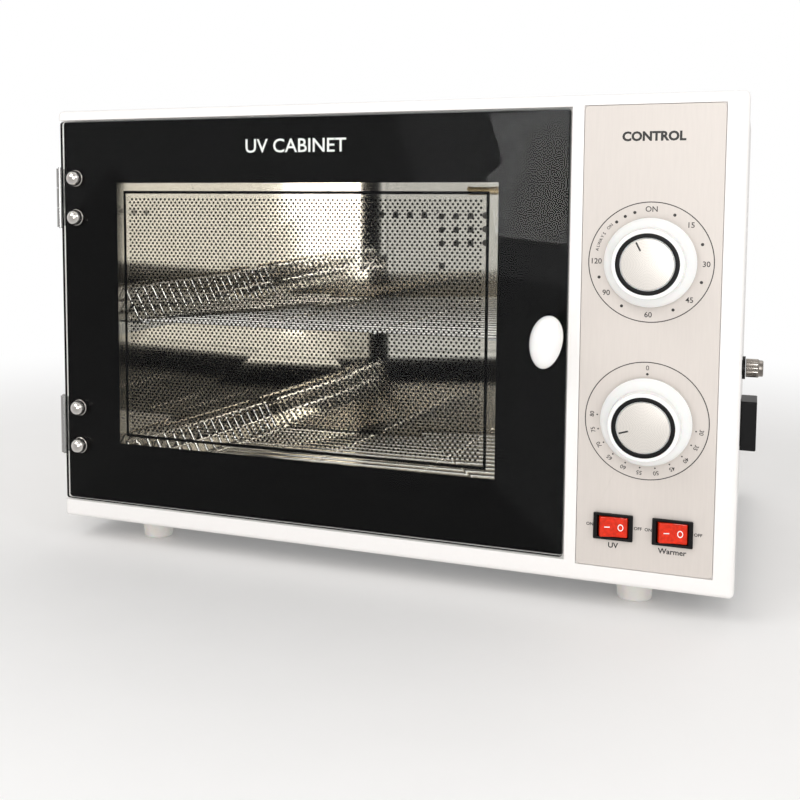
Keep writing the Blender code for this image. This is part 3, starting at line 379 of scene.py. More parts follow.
def lettering(bm, words, cap_height, place, turn=0.0, bold=0.0):
    """Adds printed words that face the front, turned clockwise by `turn` degrees about their middle."""
    curve = bpy.data.curves.new("words", "FONT")
    curve.body = words
    curve.size = cap_height / CAPITAL_SHARE
    curve.align_x = "CENTER"
    curve.align_y = "CENTER"
    curve.extrude = INK_DEPTH / 2
    curve.offset = bold
    curve.resolution_u = 3
    spin = Matrix.Rotation(math.radians(turn), 4, "Y")
    merge_into(bm, mesh_of(bpy.data.objects.new("words", curve)),
               Matrix.Translation(place) @ spin @ FACE_FRONT)


def add_disc(bm, place, radius, steps=14):
    """Adds a small printed dot that faces the front."""
    bmesh.ops.create_cone(
        bm, cap_ends=True, segments=steps, radius1=radius, radius2=radius, depth=INK_DEPTH,
        matrix=Matrix.Translation(place) @ FACE_FRONT)


def add_bar(bm, place, size, turn=0.0):
    """Adds a flat bar of the given (x, y, z) size, turned clockwise about Y by `turn` degrees."""
    spin = Matrix.Rotation(math.radians(turn), 4, "Y")
    bmesh.ops.create_cube(
        bm, size=1.0, matrix=Matrix.Translation(place) @ spin @ Matrix.Diagonal((*size, 1.0)))


def add_print(name, bm, finish_name, body):
    """Adds a flat printed piece."""
    return add_piece(name, bm, finish_name, body, sharp=30)


def rods(name, lines, radius, finish_name, replaced):
    """Round wires along 3D lines, as one piece of the cabinet."""
    curve = bpy.data.curves.new(name, "CURVE")
    curve.dimensions = "3D"
    curve.bevel_depth = radius
    curve.bevel_resolution = 2
    curve.use_fill_caps = True
    for line in lines:
        spline = curve.splines.new("POLY")
        spline.points.add(len(line) - 1)
        for point, place in zip(spline.points, line):
            point.co = (*place, 1)
    bm = mesh_of(bpy.data.objects.new(name, curve))
    bmesh.ops.recalc_face_normals(bm, faces=bm.faces)
    add_piece(name, bm, finish_name, "cabinet", replaced, sharp=50)


# ---------------------------------------------------------------- casing


def make_shell(casing):
    """Front bezel, wrapped cover, back plate and floor pan."""
    refined("front_bezel", "front_frame", "enamel", casing.edge_radius)
    refined("wrap_cover", "outer_cover", "enamel", 0.35 * MM, segments=2)
    refined("back_plate", "rear_panel", "enamel", 0.4 * MM, segments=2)
    refined("floor_pan", "base_pan", "galvanised", 0.3 * MM, segments=2)


def make_rear_screws():
    """Countersunk screws round the back plate, all but flush with it; their cross drive holes are not cut
    but shown as flat black crosses of painted shade.
    """
    low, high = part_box("rear_panel")
    inset = 6 * MM
    rise = 0.2 * MM
    radius = 3 * MM
    cross_size = (2.8 * MM, INK_DEPTH, 0.6 * MM)
    line = [(0, -rise), (radius - 0.7 * MM, -rise), (radius - 0.2 * MM, -rise / 2), (radius, 0), (0, 0)]
    heads, recess_shade = bmesh.new(), bmesh.new()
    for x in (low.x + inset, (low.x + high.x) / 2, high.x - inset):
        for z in (low.z + inset, high.z - inset):
            merge_into(heads, spun(line, (x, high.y, z), "Y", 28))
            # Flat black crosses on the heads: painted shade in place of the hollow cross drives.
            for turn in (20, 110):
                add_bar(recess_shade, (x, high.y + rise, z), cross_size, turn)
    add_piece("rear_screw_heads", heads, "steel", "cabinet")
    add_print("rear_screw_recess_shade", recess_shade, "black", "cabinet")


def make_foot(corner):
    """A tapered moulded foot with a rounded tread and a deep screw recess."""
    node = f"foot_{corner}"
    low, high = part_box(node)
    x, y = (low.x + high.x) / 2, (low.y + high.y) / 2
    wide = (high.x - low.x) / 2
    height = high.z - low.z
    taper = 1.2 * MM
    collar_low, collar_step = height - 3 * MM, 0.25 * MM
    screw_hole, recess, recess_depth = 2.3 * MM, 4.5 * MM, 5 * MM
    line = fillet([
        (screw_hole, recess_depth, 0), (recess, recess_depth, 0.4 * MM), (recess, 0, 0.6 * MM),
        (wide - taper, 0, 1.1 * MM), (wide - collar_step, collar_low, 0.4 * MM),
        (wide, collar_low + 0.4 * MM, 0.3 * MM), (wide, height, 0.3 * MM), (screw_hole, height, 0),
    ])
    line.append(line[0])
    add_piece(f"moulded_{node}", spun(line, (x, y, low.z), "Z", 48), "foot", "cabinet",
              (node,), sharp=50)


# ---------------------------------------------------------------- chamber


def basket_lines(node, wire, count):
    """The wires that run across a basket and the ties that run along it."""
    low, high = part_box(node)
    lean, bend = 10 * MM, 4 * MM
    floor, rim = low.z + wire / 2, high.z
    left, right = low.x + wire / 2, high.x - wire / 2
    front, back = low.y + wire / 2, high.y - wire / 2
    profile = fillet([
        (left, rim, 0), (left + lean, floor, bend), (right - lean, floor, bend), (right, rim, 0)], 4)
    lines = []
    for index in range(count):
        y = front + (back - front) * index / (count - 1)
        lines.append([(x, y, z) for x, z in profile])
    side_in, side_up = lean * 0.55, (rim - floor) * 0.45
    side_z = floor + side_up
    ties = [(left, rim), (right, rim), (left + side_in, side_z), (right - side_in, side_z)]
    third = (right - left - 2 * lean) / 3
    under = floor - wire / 4
    ties += [(left + lean + bend + third * index, under) for index in range(4)]
    for x, z in ties:
        lines.append([(x, front - wire / 2, z), (x, back + wire / 2, z)])
    return lines


def make_baskets(settings):
    wire = settings.basket_wire
    for level in ("lower", "upper"):
        node = f"{level}_wire_basket"
        lines = basket_lines(node, wire, settings.basket_wires)
        rods(f"{level}_basket_rods", lines, wire / 2, "chrome", (node,))


def make_lamp():
    """Quartz tube with metal end caps."""
    low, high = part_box("uv_lamp_tube")
    y, z = (low.y + high.y) / 2, (low.z + high.z) / 2
    radius = (high.z - low.z) / 2
    bore = radius - 1 * MM
    start, end = 2 * MM, high.x - low.x - 2 * MM
    tube = [(bore, start), (bore, end), (radius, end), (radius, start), (bore, start)]
    add_piece("lamp_quartz", spun(tube, (low.x, y, z), "X", 40), "quartz", "cabinet",
              ("uv_lamp_tube",))
    cap_radius, cap_length = radius + 0.15 * MM, 11.6 * MM
    line = fillet([
        (0, 0, 0), (radius - 0.6 * MM, 0, 0.5 * MM), (cap_radius, 1.2 * MM, 0.4 * MM),
        (cap_radius, cap_length - 0.6 * MM, 0.4 * MM), (radius - 1.4 * MM, cap_length, 0.3 * MM),
        (0, cap_length, 0)])
    caps = bmesh.new()
    for x, way in ((low.x, 1), (high.x, -1)):
        merge_into(caps, spun([(r, way * reach) for r, reach in line], (x, y, z), "X", 40))
    add_piece("lamp_end_caps", caps, "cap_metal", "cabinet")


# ---------------------------------------------------------------- door


def window_edges(door, inset=0.0):
    """Low and high (x, z) corners of the clear window, drawn in by `inset`."""
    margin = door.window_margin + inset
    return ((GLASS_LOW.x + margin, GLASS_LOW.z + margin), (GLASS_HIGH.x - margin, GLASS_HIGH.z - margin))


def make_door_pane():
    """Clear slab with rounded corners and polished edges; the print lies on its rear face."""
    corner_radius = 2 * MM
    bm = bmesh.new()
    low, high = GLASS_LOW.copy(), GLASS_HIGH.copy()
    high.y -= 4 * INK_DEPTH
    bmesh.ops.create_cube(
        bm, size=1.0, matrix=Matrix.Translation((low + high) / 2) @ Matrix.Diagonal((*(high - low), 1.0)))
    depth = high.y - low.y
    upright = [edge for edge in bm.edges if abs(edge.verts[0].co.y - edge.verts[1].co.y) > depth / 2]
    bmesh.ops.bevel(
        bm, geom=upright, offset=corner_radius, segments=6, profile=0.5, affect="EDGES", material=-1)
    around = [edge for edge in bm.edges if edge.calc_face_angle(0) > math.radians(60)]
    bmesh.ops.bevel(
        bm, geom=around, offset=PANE_EDGE, segments=2, profile=0.5, affect="EDGES", material=-1)
    add_piece("door_pane", bm, "pane", "door", ("door_glass",), sharp=30)


def make_door_print(door):
    """Black border, the fine line round the window, the dotted screen and the white heading."""
    print_back = GLASS_HIGH.y
    border_front = print_back - 2 * INK_DEPTH
    corner_radius = 1.6 * MM
    outer = rectangle(
        (GLASS_LOW.x + PANE_EDGE, GLASS_LOW.z + PANE_EDGE),
        (GLASS_HIGH.x - PANE_EDGE, GLASS_HIGH.z - PANE_EDGE), corner_radius)
    border = flat_shape([outer, rectangle(*window_edges(door))], border_front, print_back)
    add_print("door_border_print", border, "border", "door")

    strip = door.clear_strip
    line = flat_shape(
        [rectangle(*window_edges(door, strip)), rectangle(*window_edges(door, strip + door.line_width))],
        border_front - INK_DEPTH, border_front)
    add_print("window_line", line, "border", "door")

    inset = strip + door.line_width + door.dot_width
    low, high = window_edges(door, inset)
    pitch, row = door.dot_pitch, door.dot_row
    columns = int((high[0] - low[0]) / pitch)
    rows = int((high[1] - low[1]) / (2 * row))
    start_x = (low[0] + high[0] - (columns - 0.5) * pitch) / 2
    start_z = (low[1] + high[1] - (2 * rows - 1) * row) / 2
    pair = bmesh.new()
    y = border_front - INK_DEPTH / 2
    for place in ((start_x, y, start_z), (start_x + pitch / 2, y, start_z + row)):
        add_disc(pair, place, door.dot_width / 2, steps=6)
    dots = add_print("window_dots", pair, "border", "door")
    for name, count, offset in (("columns", columns, (pitch, 0, 0)), ("rows", rows, (0, 0, 2 * row))):
        array = dots.modifiers.new(name, "ARRAY")
        array.count = count
        array.use_relative_offset = False
        array.use_constant_offset = True
        array.constant_offset_displace = offset

    heading = bmesh.new()
    place = ((low[0] + high[0]) / 2, border_front - INK_DEPTH, GLASS_HIGH.z - door.heading_drop)
    lettering(heading, "UV CABINET", door.heading_height, place, bold=0.1 * MM)
    add_print("door_heading", heading, "ink_white", "door")


def make_pull():
    """Egg-shaped pull: a sphere whose rear pole opens into the neck."""
    low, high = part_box("door_handle")
    centre_x, centre_z = (low.x + high.x) / 2, (low.z + high.z) / 2
    wide, tall = (high.x - low.x) / 2, (high.z - low.z) / 2
    deep = 7.4 * MM
    opening, lean, taper = 0.86, 9, 0.07
    bm = bmesh.new()
    bmesh.ops.create_uvsphere(bm, u_segments=48, v_segments=32, radius=1.0)
    bmesh.ops.rotate(bm, verts=bm.verts, cent=(0, 0, 0), matrix=Matrix.Rotation(math.radians(90), 3, "X"))
    rear_pole = [vert for vert in bm.verts if vert.co.y > opening]
    bmesh.ops.delete(bm, geom=rear_pole, context="VERTS")
    rim = [edge for edge in bm.edges if edge.is_boundary]
    place = Matrix.Translation((centre_x, low.y + deep, centre_z))
    shape = Matrix.Diagonal((wide * 0.985, deep, tall * 0.99, 1.0))
    leaning = Matrix.Rotation(math.radians(lean), 4, "Y")
    bmesh.ops.transform(bm, matrix=place @ leaning @ shape, verts=bm.verts)
    for vert in bm.verts:
        share = (vert.co.z - centre_z) / tall
        vert.co.x = centre_x + (vert.co.x - centre_x) * (1 + taper * share)
    neck = (
        (low.y + deep * 2.02, 4.7 * MM), (low.y + deep * 2.35, 4.6 * MM), (high.y - 1.6 * MM, 4.8 * MM),
        (high.y - 0.5 * MM, 5.1 * MM), (high.y, 5.1 * MM))
    for y, radius in neck:
        made = bmesh.ops.extrude_edge_only(bm, edges=rim)["geom"]
        rim = [item for item in made if isinstance(item, bmesh.types.BMEdge)]
        for vert in (item for item in made if isinstance(item, bmesh.types.BMVert)):
            away = Vector((vert.co.x - centre_x, vert.co.z - centre_z)).normalized() * radius
            vert.co = (centre_x + away.x, y, centre_z + away.y)
    bmesh.ops.holes_fill(bm, edges=rim, sides=0)
    bmesh.ops.recalc_face_normals(bm, faces=bm.faces)
    add_piece("door_pull", bm, "gloss", "door", ("door_handle",), sharp=60)


def make_dome_nut(node):
    """Polished dome nut with a thin collar and its stud through the glass."""
    low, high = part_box(node)
    radius = (high.x - low.x) / 2
    centre = ((low.x + high.x) / 2, GLASS_LOW.y, (low.z + high.z) / 2)
    reach, stud_end = GLASS_LOW.y - low.y, GLASS_LOW.y - high.y
    dome, shoulder = radius * 0.93, reach * 0.36
    collar, gap = 1.2 * MM, 0.05 * MM
    stud = 2 * MM
    line = [(0, reach)]
    for step in range(1, 10):
        turn = math.radians(90 - 10 * step)
        line.append((dome * math.cos(turn), shoulder + (reach - shoulder) * math.sin(turn)))
    line += fillet([
        (dome, shoulder, 0), (dome, collar + 0.3 * MM, 0.2 * MM), (radius, collar, 0.3 * MM),
        (radius, gap, 0.2 * MM), (stud, gap, 0), (stud, stud_end + 0.5 * MM, 0.2 * MM),
        (stud - 0.4 * MM, stud_end, 0.1 * MM), (0, stud_end, 0)], 3)
    add_piece(f"polished_{node}", spun(line, centre, "Y", 40), "chrome", "door", (node,))


# ---------------------------------------------------------------- controls


def make_control_plate():
    """Thin plate with rounded corners and its holes for the shafts and the switches."""
    corner_radius, shaft_hole, lap = 2.2 * MM, 4.4 * MM, 1 * MM
    loops = [rectangle((PLATE_LOW.x, PLATE_LOW.z), (PLATE_HIGH.x, PLATE_HIGH.z), corner_radius)]
    for name in ("timer", "thermostat"):
        shaft = middle(f"{name}_shaft")
        loops.append(circle(shaft.x, shaft.z, shaft_hole, 32))
    for name in ("uv", "warmer"):
        low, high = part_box(f"{name}_switch_body")
        loops.append(rectangle((low.x + lap, low.z + lap), (high.x - lap, high.z - lap), 0.8 * MM))
    plate = add_piece("printed_control_plate", flat_shape(loops, PLATE_LOW.y, PLATE_HIGH.y),
                      "plate", "cabinet", ("control_panel",), sharp=30)
    soften(plate, 0.18 * MM, 2, 60)


def on_dial(centre, angle, radius):
    """A place on the plate, at a clockwise angle from the top of a dial."""
    turn = math.radians(angle)
    return (centre.x + radius * math.sin(turn), PLATE_LOW.y - INK_DEPTH / 2,
            centre.z + radius * math.cos(turn))


def dial_circle(bm, centre, controls):
    """Adds the fine circle round a dial."""
    line = controls.dial_line / 2
    loops = [circle(centre.x, centre.z, controls.dial_radius + line, 128),
             circle(centre.x, centre.z, controls.dial_radius - line, 128)]
    merge_into(bm, flat_shape(loops, PLATE_LOW.y - INK_DEPTH, PLATE_LOW.y))


def make_timer_print(controls):
    """Minutes, dots and the arc of small letters round the timer."""
    bm = bmesh.new()
    centre = middle("timer_shaft")
    dial_circle(bm, centre, controls)
    radius = controls.dial_radius - 3.9 * MM
    marks = (("ON", 0), ("15", 45), ("30", 91), ("45", 134), ("60", 181), ("90", 233), ("120", 270))
    for words, angle in marks:
        lettering(bm, words, 2.9 * MM, on_dial(centre, angle, radius), bold=0.04 * MM)
    for angle in (25, 69, 111, 154, 211, 252, 320, 331, 342):
        add_disc(bm, on_dial(centre, angle, radius - 0.4 * MM), 0.85 * MM)
    arc_start, letter_step = 283, 3.8
    for index, letter in enumerate("ALWAYS ON"):
        if letter != " ":
            angle = arc_start + letter_step * index
            place = on_dial(centre, angle, radius + 0.2 * MM)
            lettering(bm, letter, 1.6 * MM, place, turn=angle, bold=0.03 * MM)
    add_print("timer_scale", bm, "ink_grey", "cabinet")


def make_thermostat_print(controls):
    """Zero mark and the temperatures with their dots round the thermostat."""
    bm = bmesh.new()
    centre = middle("thermostat_shaft")
    dial_circle(bm, centre, controls)
    radius = controls.dial_radius - 3.6 * MM
    lettering(bm, "0", 2.6 * MM, on_dial(centre, 0, radius + 0.4 * MM))
    add_disc(bm, on_dial(centre, 0, radius - 2.9 * MM), 0.7 * MM)
    first_angle, angle_step = 98, 17.6
    for index, degrees in enumerate(range(30, 81, 5)):
        angle = first_angle + angle_step * index
        lettering(
            bm, str(degrees), 2.2 * MM, on_dial(centre, angle, radius), turn=angle, bold=0.03 * MM)
        add_disc(bm, on_dial(centre, angle, radius - 2.7 * MM), 0.45 * MM, 10)
    add_print("thermostat_scale", bm, "ink_grey", "cabinet")


def make_plate_words(controls):
    """Heading of the plate and the short names of the two switches."""
    bm = bmesh.new()
    y = PLATE_LOW.y - INK_DEPTH / 2
    heading_place = ((PLATE_LOW.x + PLATE_HIGH.x) / 2, y, PLATE_HIGH.z - controls.heading_drop)
    lettering(bm, "CONTROL", controls.heading_height, heading_place, bold=0.28 * MM)
    name_height, state_height = 2.9 * MM, 1.7 * MM
    for name, words in (("uv", "UV"), ("warmer", "Warmer")):
        low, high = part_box(f"{name}_switch_body")
        x, z = (low.x + high.x) / 2, (low.z + high.z) / 2
        lettering(bm, words, name_height, (x, y, low.z - 3.5 * MM), bold=0.09 * MM)
        lettering(bm, "ON", state_height, (low.x - 2.1 * MM, y, z), bold=0.05 * MM)
        lettering(bm, "OFF", state_height, (high.x + 2.5 * MM, y, z), bold=0.05 * MM)
    add_print("plate_words", bm, "ink_black", "cabinet")


def make_knob(name, pointer_angle):
    """Flared glossy knob with a black ring, a champagne disc and its pointer line."""
    low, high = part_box(f"{name}_knob")
    x, z = (low.x + high.x) / 2, (low.z + high.z) / 2
    front = FRONT_Y - low.y
    skirt = (high.x - low.x) / 2
    body = skirt * 0.77
    floor = front - 1.2 * MM
    gap = front - (high.y - low.y)
    ring_out, ring_in, disc = 16.2 * MM, 14.0 * MM, 13.5 * MM
    recess = ring_out + 0.1 * MM
    bore, bore_end = 3.3 * MM, 14 * MM
    hub, hub_back, hollow_end = 6.5 * MM, 4 * MM, 11 * MM
    line = fillet([
        (0, floor, 0), (recess, floor, 0), (recess, front, 0.25 * MM), (body, front, 1.3 * MM),
        (body + 0.35 * MM, 9.5 * MM, 5 * MM), (skirt - 1.2 * MM, 5 * MM, 3 * MM),
        (skirt, 3.2 * MM, 0.8 * MM), (skirt, gap, 0.35 * MM), (skirt - 1.5 * MM, gap, 0.3 * MM),
        (skirt - 4 * MM, 6 * MM, 1 * MM), (body - 2 * MM, hollow_end, 1 * MM), (hub, hollow_end, 0.5 * MM),
        (hub, hub_back, 0.3 * MM), (bore, hub_back, 0), (bore, bore_end, 0), (0, bore_end, 0)], 8)
    centre = (x, FRONT_Y, z)
    add_piece(f"{name}_dial_knob", spun(line, centre, "Y", 96), "gloss", name,
              (f"{name}_knob",))
    bed = floor + 0.02 * MM
    ring_face = front - 0.1 * MM
    ring = fillet([
        (ring_in, bed, 0), (ring_in, ring_face, 0.3 * MM), (ring_out, ring_face, 0.3 * MM),
        (ring_out, bed, 0)])
    ring.append(ring[0])
    add_piece(f"{name}_knob_ring", spun(ring, centre, "Y", 96), "black", name)
    face = front - 0.15 * MM
    plate = fillet([(0, face, 0), (disc, face, 0.25 * MM), (disc, bed, 0), (0, bed, 0)])
    add_piece(f"{name}_knob_disc", spun(plate, centre, "Y", 96), f"champagne_{name}", name,
              (f"{name}_knob_insert",))
    pointer = bmesh.new()
    pointer_size = (0.9 * MM, 2 * INK_DEPTH, 5 * MM)
    turn = math.radians(pointer_angle)
    reach = disc - 3.2 * MM
    place = (x + reach * math.sin(turn), FRONT_Y - face, z + reach * math.cos(turn))
    add_bar(pointer, place, pointer_size, pointer_angle)
    add_print(f"{name}_pointer", pointer, "ink_black", name)


# ---------------------------------------------------------------- switches


def rocker_faces(name):
    """The two front faces of a rocker as (centre, normal), left one first."""
    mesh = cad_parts[f"{name}_rocker"].data
    low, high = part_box(f"{name}_rocker")
    centre_x = (low.x + high.x) / 2
    sides = {}
    for side in (-1, 1):
        found = [
            face for face in mesh.polygons
            if face.normal.y < -0.9 and (face.center.x - centre_x) * side > 0]
        area = sum(face.area for face in found)
        centre = sum((face.center * face.area for face in found), Vector()) / area
        normal = sum((face.normal * face.area for face in found), Vector()).normalized()
        sides[side] = (centre, normal)
    return sides[-1], sides[1]


def seat(place, normal):
    """Turns a shape that faces -Y to face along a level normal, and sets it on a face."""
    angle = math.atan2(normal.x, -normal.y)
    return Matrix.Translation(place + normal * 0.02 * MM) @ Matrix.Rotation(angle, 4, "Z")


def make_switch(name):
    """Black bezel, red lens rocker and its two white marks."""
    refined(f"{name}_switch_bezel", f"{name}_switch_body", "black", 0.55 * MM)
    lens = add_piece(f"{name}_lens_rocker", copy_of(f"{name}_rocker"), "red", f"{name}_rocker",
                     (f"{name}_rocker",))
    soften(lens, 0.45 * MM, 3, 12)
    marks = bmesh.new()
    (left, left_normal), (right, right_normal) = rocker_faces(name)
    dash = bmesh.new()
    dash_size = (3 * MM, 2 * INK_DEPTH, 0.55 * MM)
    add_bar(dash, (0, 0, 0), dash_size)
    merge_into(marks, dash, seat(left, left_normal))
    narrowing = 0.78
    loops = [
        [(u * narrowing, v) for u, v in circle(0, 0, radius, 32)] for radius in (1.95 * MM, 1.4 * MM)]
    merge_into(marks, flat_shape(loops, -INK_DEPTH, INK_DEPTH), seat(right, right_normal))
    add_print(f"{name}_rocker_marks", marks, "ink_white", f"{name}_rocker")


# ---------------------------------------------------------------- side fittings


def make_fuse_cap():
    """Knurled cap with a rounded nose and a dished end whose screwdriver groove is only a thin flat black
    mark on the dish floor: painted shade.
    """
    low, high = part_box("fuse_cap")
    radius = (high.z - low.z) / 2
    centre = (low.x, (low.y + high.y) / 2, (low.z + high.z) / 2)
    length = high.x - low.x
    nose, nose_radius = length - 2.4 * MM, radius - 0.7 * MM
    dish, dish_floor = 2.6 * MM, length - 0.8 * MM
    steps, steps_per_groove, groove_depth = 72, 3, 0.25 * MM
    line = fillet([
        (0, 0, 0), (radius, 0, 0.3 * MM), (radius, nose - 0.8 * MM, 0.2 * MM),
        (nose_radius, nose, 0.2 * MM), (nose_radius, length, 0.9 * MM), (dish, length, 0.2 * MM),
        (dish - 0.2 * MM, dish_floor, 0.1 * MM), (0, dish_floor, 0)], 3)
    bm = spun(line, centre, "X", steps)
    for vert in bm.verts:
        out = Vector((0, vert.co.y - centre[1], vert.co.z - centre[2]))
        step = round(math.atan2(out.z, out.y) / (math.tau / steps))
        if out.length > radius - 0.2 * MM and step % steps_per_groove == 0:
            vert.co -= out.normalized() * groove_depth
    add_piece("knurled_fuse_cap", bm, "dark_chrome", "cabinet", ("fuse_cap",), sharp=25)
    # Thin black mark on the dish floor: painted shade in place of a cut driver groove.
    slot_shade = bmesh.new()
    slot_shade_size = (0.12 * MM, 4.4 * MM, 0.9 * MM)
    add_bar(slot_shade, (high.x - 0.75 * MM, centre[1], centre[2]), slot_shade_size)
    add_print("fuse_cap_slot_shade", slot_shade, "black", "cabinet")


def make_power_inlet():
    """Black shroud with its three brass pins."""
    refined("power_inlet_shroud", "power_inlet", "black", 0.9 * MM)
    for number in (1, 2, 3):
        refined(f"rounded_inlet_pin_{number}", f"inlet_pin_{number}", "brass", 0.5 * MM)


# ---------------------------------------------------------------- stage


def floor_finish(stage):
    """Pale paper near the cabinet that fades into the white background."""
    mat = finish("studio_floor", tuple(stage.floor_colour), 0.62, size=40 * MM, tone=0.01)
    tree = mat.node_tree
    coords = add_node(tree, "ShaderNodeTexCoord")
    distance = add_node(tree, "ShaderNodeVectorMath", Vector=coords.outputs["Object"])
    distance.operation = "LENGTH"
    fade = add_node(tree, "ShaderNodeMapRange", {
        "From Min": stage.fade_start, "From Max": stage.fade_end}, Value=distance.outputs["Value"])
    fade.interpolation_type = "SMOOTHSTEP"
    glow = add_node(tree, "ShaderNodeEmission", {"Color": (1, 1, 1, 1), "Strength": 1.0})
    show_mix(tree, fade.outputs["Result"], tree.nodes["Principled BSDF"].outputs["BSDF"],
             glow.outputs["Emission"])
    return mat


def make_floor(stage):
    """A wide floor that no gloss reflects."""
    floor = bmesh.new()
    bmesh.ops.create_circle(floor, cap_ends=True, segments=96, radius=12.0)
    mesh = bpy.data.meshes.new("studio_floor")
    floor.to_mesh(mesh)
    floor.free()
    obj = bpy.data.objects.new("studio_floor", mesh)
    mesh.materials.append(floor_finish(stage))
    obj.visible_glossy = False
    bpy.context.scene.collection.objects.link(obj)


def make_surroundings(stage):
    """White behind the cabinet, and a soft light that is stronger from the back."""
    world = bpy.data.worlds.new("studio")
    world.use_nodes = True
    tree = world.node_tree
    seen = tree.nodes["Background"]
    seen.inputs["Color"].default_value = (1, 1, 1, 1)
    seen.inputs["Strength"].default_value = 1.0
    coords = add_node(tree, "ShaderNodeTexCoord")
    split = add_node(tree, "ShaderNodeSeparateXYZ", Vector=coords.outputs["Generated"])
    fade = add_node(tree, "ShaderNodeMapRange", {
        "From Min": -0.9, "From Max": 0.6, "To Min": stage.front_light, "To Max": stage.sky_light,
    }, Value=split.outputs["Y"])
    soft = add_node(tree, "ShaderNodeBackground", {"Color": (1, 0.985, 0.97, 1)},
                    Strength=fade.outputs["Result"])
    path = add_node(tree, "ShaderNodeLightPath")
    show_mix(tree, path.outputs["Is Camera Ray"], soft.outputs["Background"], seen.outputs["Background"],
             "World Output")
    bpy.context.scene.world = world


def make_softboxes(stage):
    """Large soft lights that face the middle of the front."""
    target = Vector((MIDDLE_X, FRONT_Y, (FRAME_LOW.z + FRAME_HIGH.z) / 2))
    for name, place, width, height, power in (
            ("key_softbox", (-0.7, -1.2, 1.35), 1.0, 1.0, stage.key_power),
            ("right_softbox", (1.3, -0.75, 0.9), 0.8, 0.8, stage.key_power * 0.4),
            ("window_softbox", (0.42, -1.35, 0.42), 1.0, 1.0, stage.key_power * 0.36),
            ("strip_softbox", (0.3, -1.25, 0.45), 0.2, 0.8, stage.key_power * 0.42),
            ("top_softbox", (0.1, 0.5, 1.6), 1.2, 1.2, stage.key_power * 0.45)):
        lamp = bpy.data.lights.new(name, "AREA")
        lamp.shape = "RECTANGLE"
        lamp.size = width
        lamp.size_y = height
        lamp.energy = power
        light = bpy.data.objects.new(name, lamp)
        light.location = place
        light.rotation_euler = (target - Vector(place)).to_track_quat("-Z", "Y").to_euler()
        bpy.context.scene.collection.objects.link(light)


def make_camera(stage):
    """The front camera and its plain view of the colours."""
    scene = bpy.context.scene
    lens = bpy.data.cameras.new("front_camera")
    lens.sensor_width = 36
    lens.lens = stage.focal_length
    lens.shift_x, lens.shift_y = stage.shift
    camera = bpy.data.objects.new("front_camera", lens)
    camera.location = Vector((MIDDLE_X, FRONT_Y, 0)) + Vector(stage.camera_offset)
    camera.rotation_euler = (math.radians(90) - stage.camera_drop, 0, stage.camera_turn)
    scene.collection.objects.link(camera)
    scene.camera = camera
    scene.view_settings.view_transform = "Standard"


# ---------------------------------------------------------------- settings


class CasingSettings(bpy.types.PropertyGroup):
    """Sizes and colours of the outer casing and the baskets."""

    enamel_colour: bpy.props.FloatVectorProperty(
        name="Enamel", description="Colour of the white enamel", subtype="COLOR", size=3, min=0, max=1,
        default=(0.93, 0.905, 0.885))
    edge_radius: bpy.props.FloatProperty(
        name="Edge Radius", description="Rounding of the front frame's inner edges", default=0.7 * MM,
        unit="LENGTH", precision=4)
    basket_wire: bpy.props.FloatProperty(
        name="Basket Wire", description="Diameter of the basket wires", default=2 * MM, unit="LENGTH",
        precision=4)
    basket_wires: bpy.props.IntProperty(
        name="Basket Wires", description="Number of wires across a basket", default=19, min=8, max=60)


class DoorSettings(bpy.types.PropertyGroup):
    """Sizes and colours of the glass door and its print."""

    glass_tint: bpy.props.FloatVectorProperty(
        name="Glass Tint", description="Colour of the clear window", subtype="COLOR", size=3, min=0, max=1,
        default=(0.9, 0.91, 0.9))
    window_margin: bpy.props.FloatProperty(
        name="Window Margin", description="Width of the black border", default=40 * MM, unit="LENGTH")
    clear_strip: bpy.props.FloatProperty(
        name="Clear Strip", description="Width of the undotted strip inside the border",
        default=5 * MM, unit="LENGTH")
    line_width: bpy.props.FloatProperty(
        name="Line Width", description="Width of the line round the dotted screen", default=1.8 * MM,
        unit="LENGTH")
    dot_pitch: bpy.props.FloatProperty(
        name="Dot Pitch", description="Distance between dots in a row", default=3 * MM, unit="LENGTH")
    dot_row: bpy.props.FloatProperty(
        name="Dot Row", description="Distance between rows of dots", default=2 * MM, unit="LENGTH")
    dot_width: bpy.props.FloatProperty(
        name="Dot Width", description="Diameter of a dot", default=1.6 * MM, unit="LENGTH")
    heading_height: bpy.props.FloatProperty(
        name="Heading Height", description="Capital height of the heading", default=8.2 * MM,
        unit="LENGTH")
    heading_drop: bpy.props.FloatProperty(
        name="Heading Drop", description="Distance of the heading below the top edge of the glass",
        default=18 * MM, unit="LENGTH")


class ControlSettings(bpy.types.PropertyGroup):
    """Sizes and colours of the control plate and its print."""

    plate_colour: bpy.props.FloatVectorProperty(
        name="Plate", description="Colour of the control plate", subtype="COLOR", size=3, min=0, max=1,
        default=(0.68, 0.625, 0.58))
    dial_radius: bpy.props.FloatProperty(
        name="Dial Radius", description="Radius of the printed dial circles", default=32.3 * MM,
        unit="LENGTH")
    dial_line: bpy.props.FloatProperty(
        name="Dial Line", description="Width of the printed dial circles", default=0.5 * MM,
        unit="LENGTH")
    heading_height: bpy.props.FloatProperty(
        name="Heading Height", description="Capital height of the plate's heading", default=4.7 * MM,
        unit="LENGTH")
    heading_drop: bpy.props.FloatProperty(
        name="Heading Drop", description="Distance of the heading below the top edge of the plate",
        default=17 * MM, unit="LENGTH")
    timer_angle: bpy.props.FloatProperty(
        name="Timer Pointer", description="Clockwise angle of the timer pointer in degrees", default=-27.0)
    thermostat_angle: bpy.props.FloatProperty(
        name="Thermostat Pointer", description="Clockwise angle of the thermostat pointer in degrees",
        default=253.0)


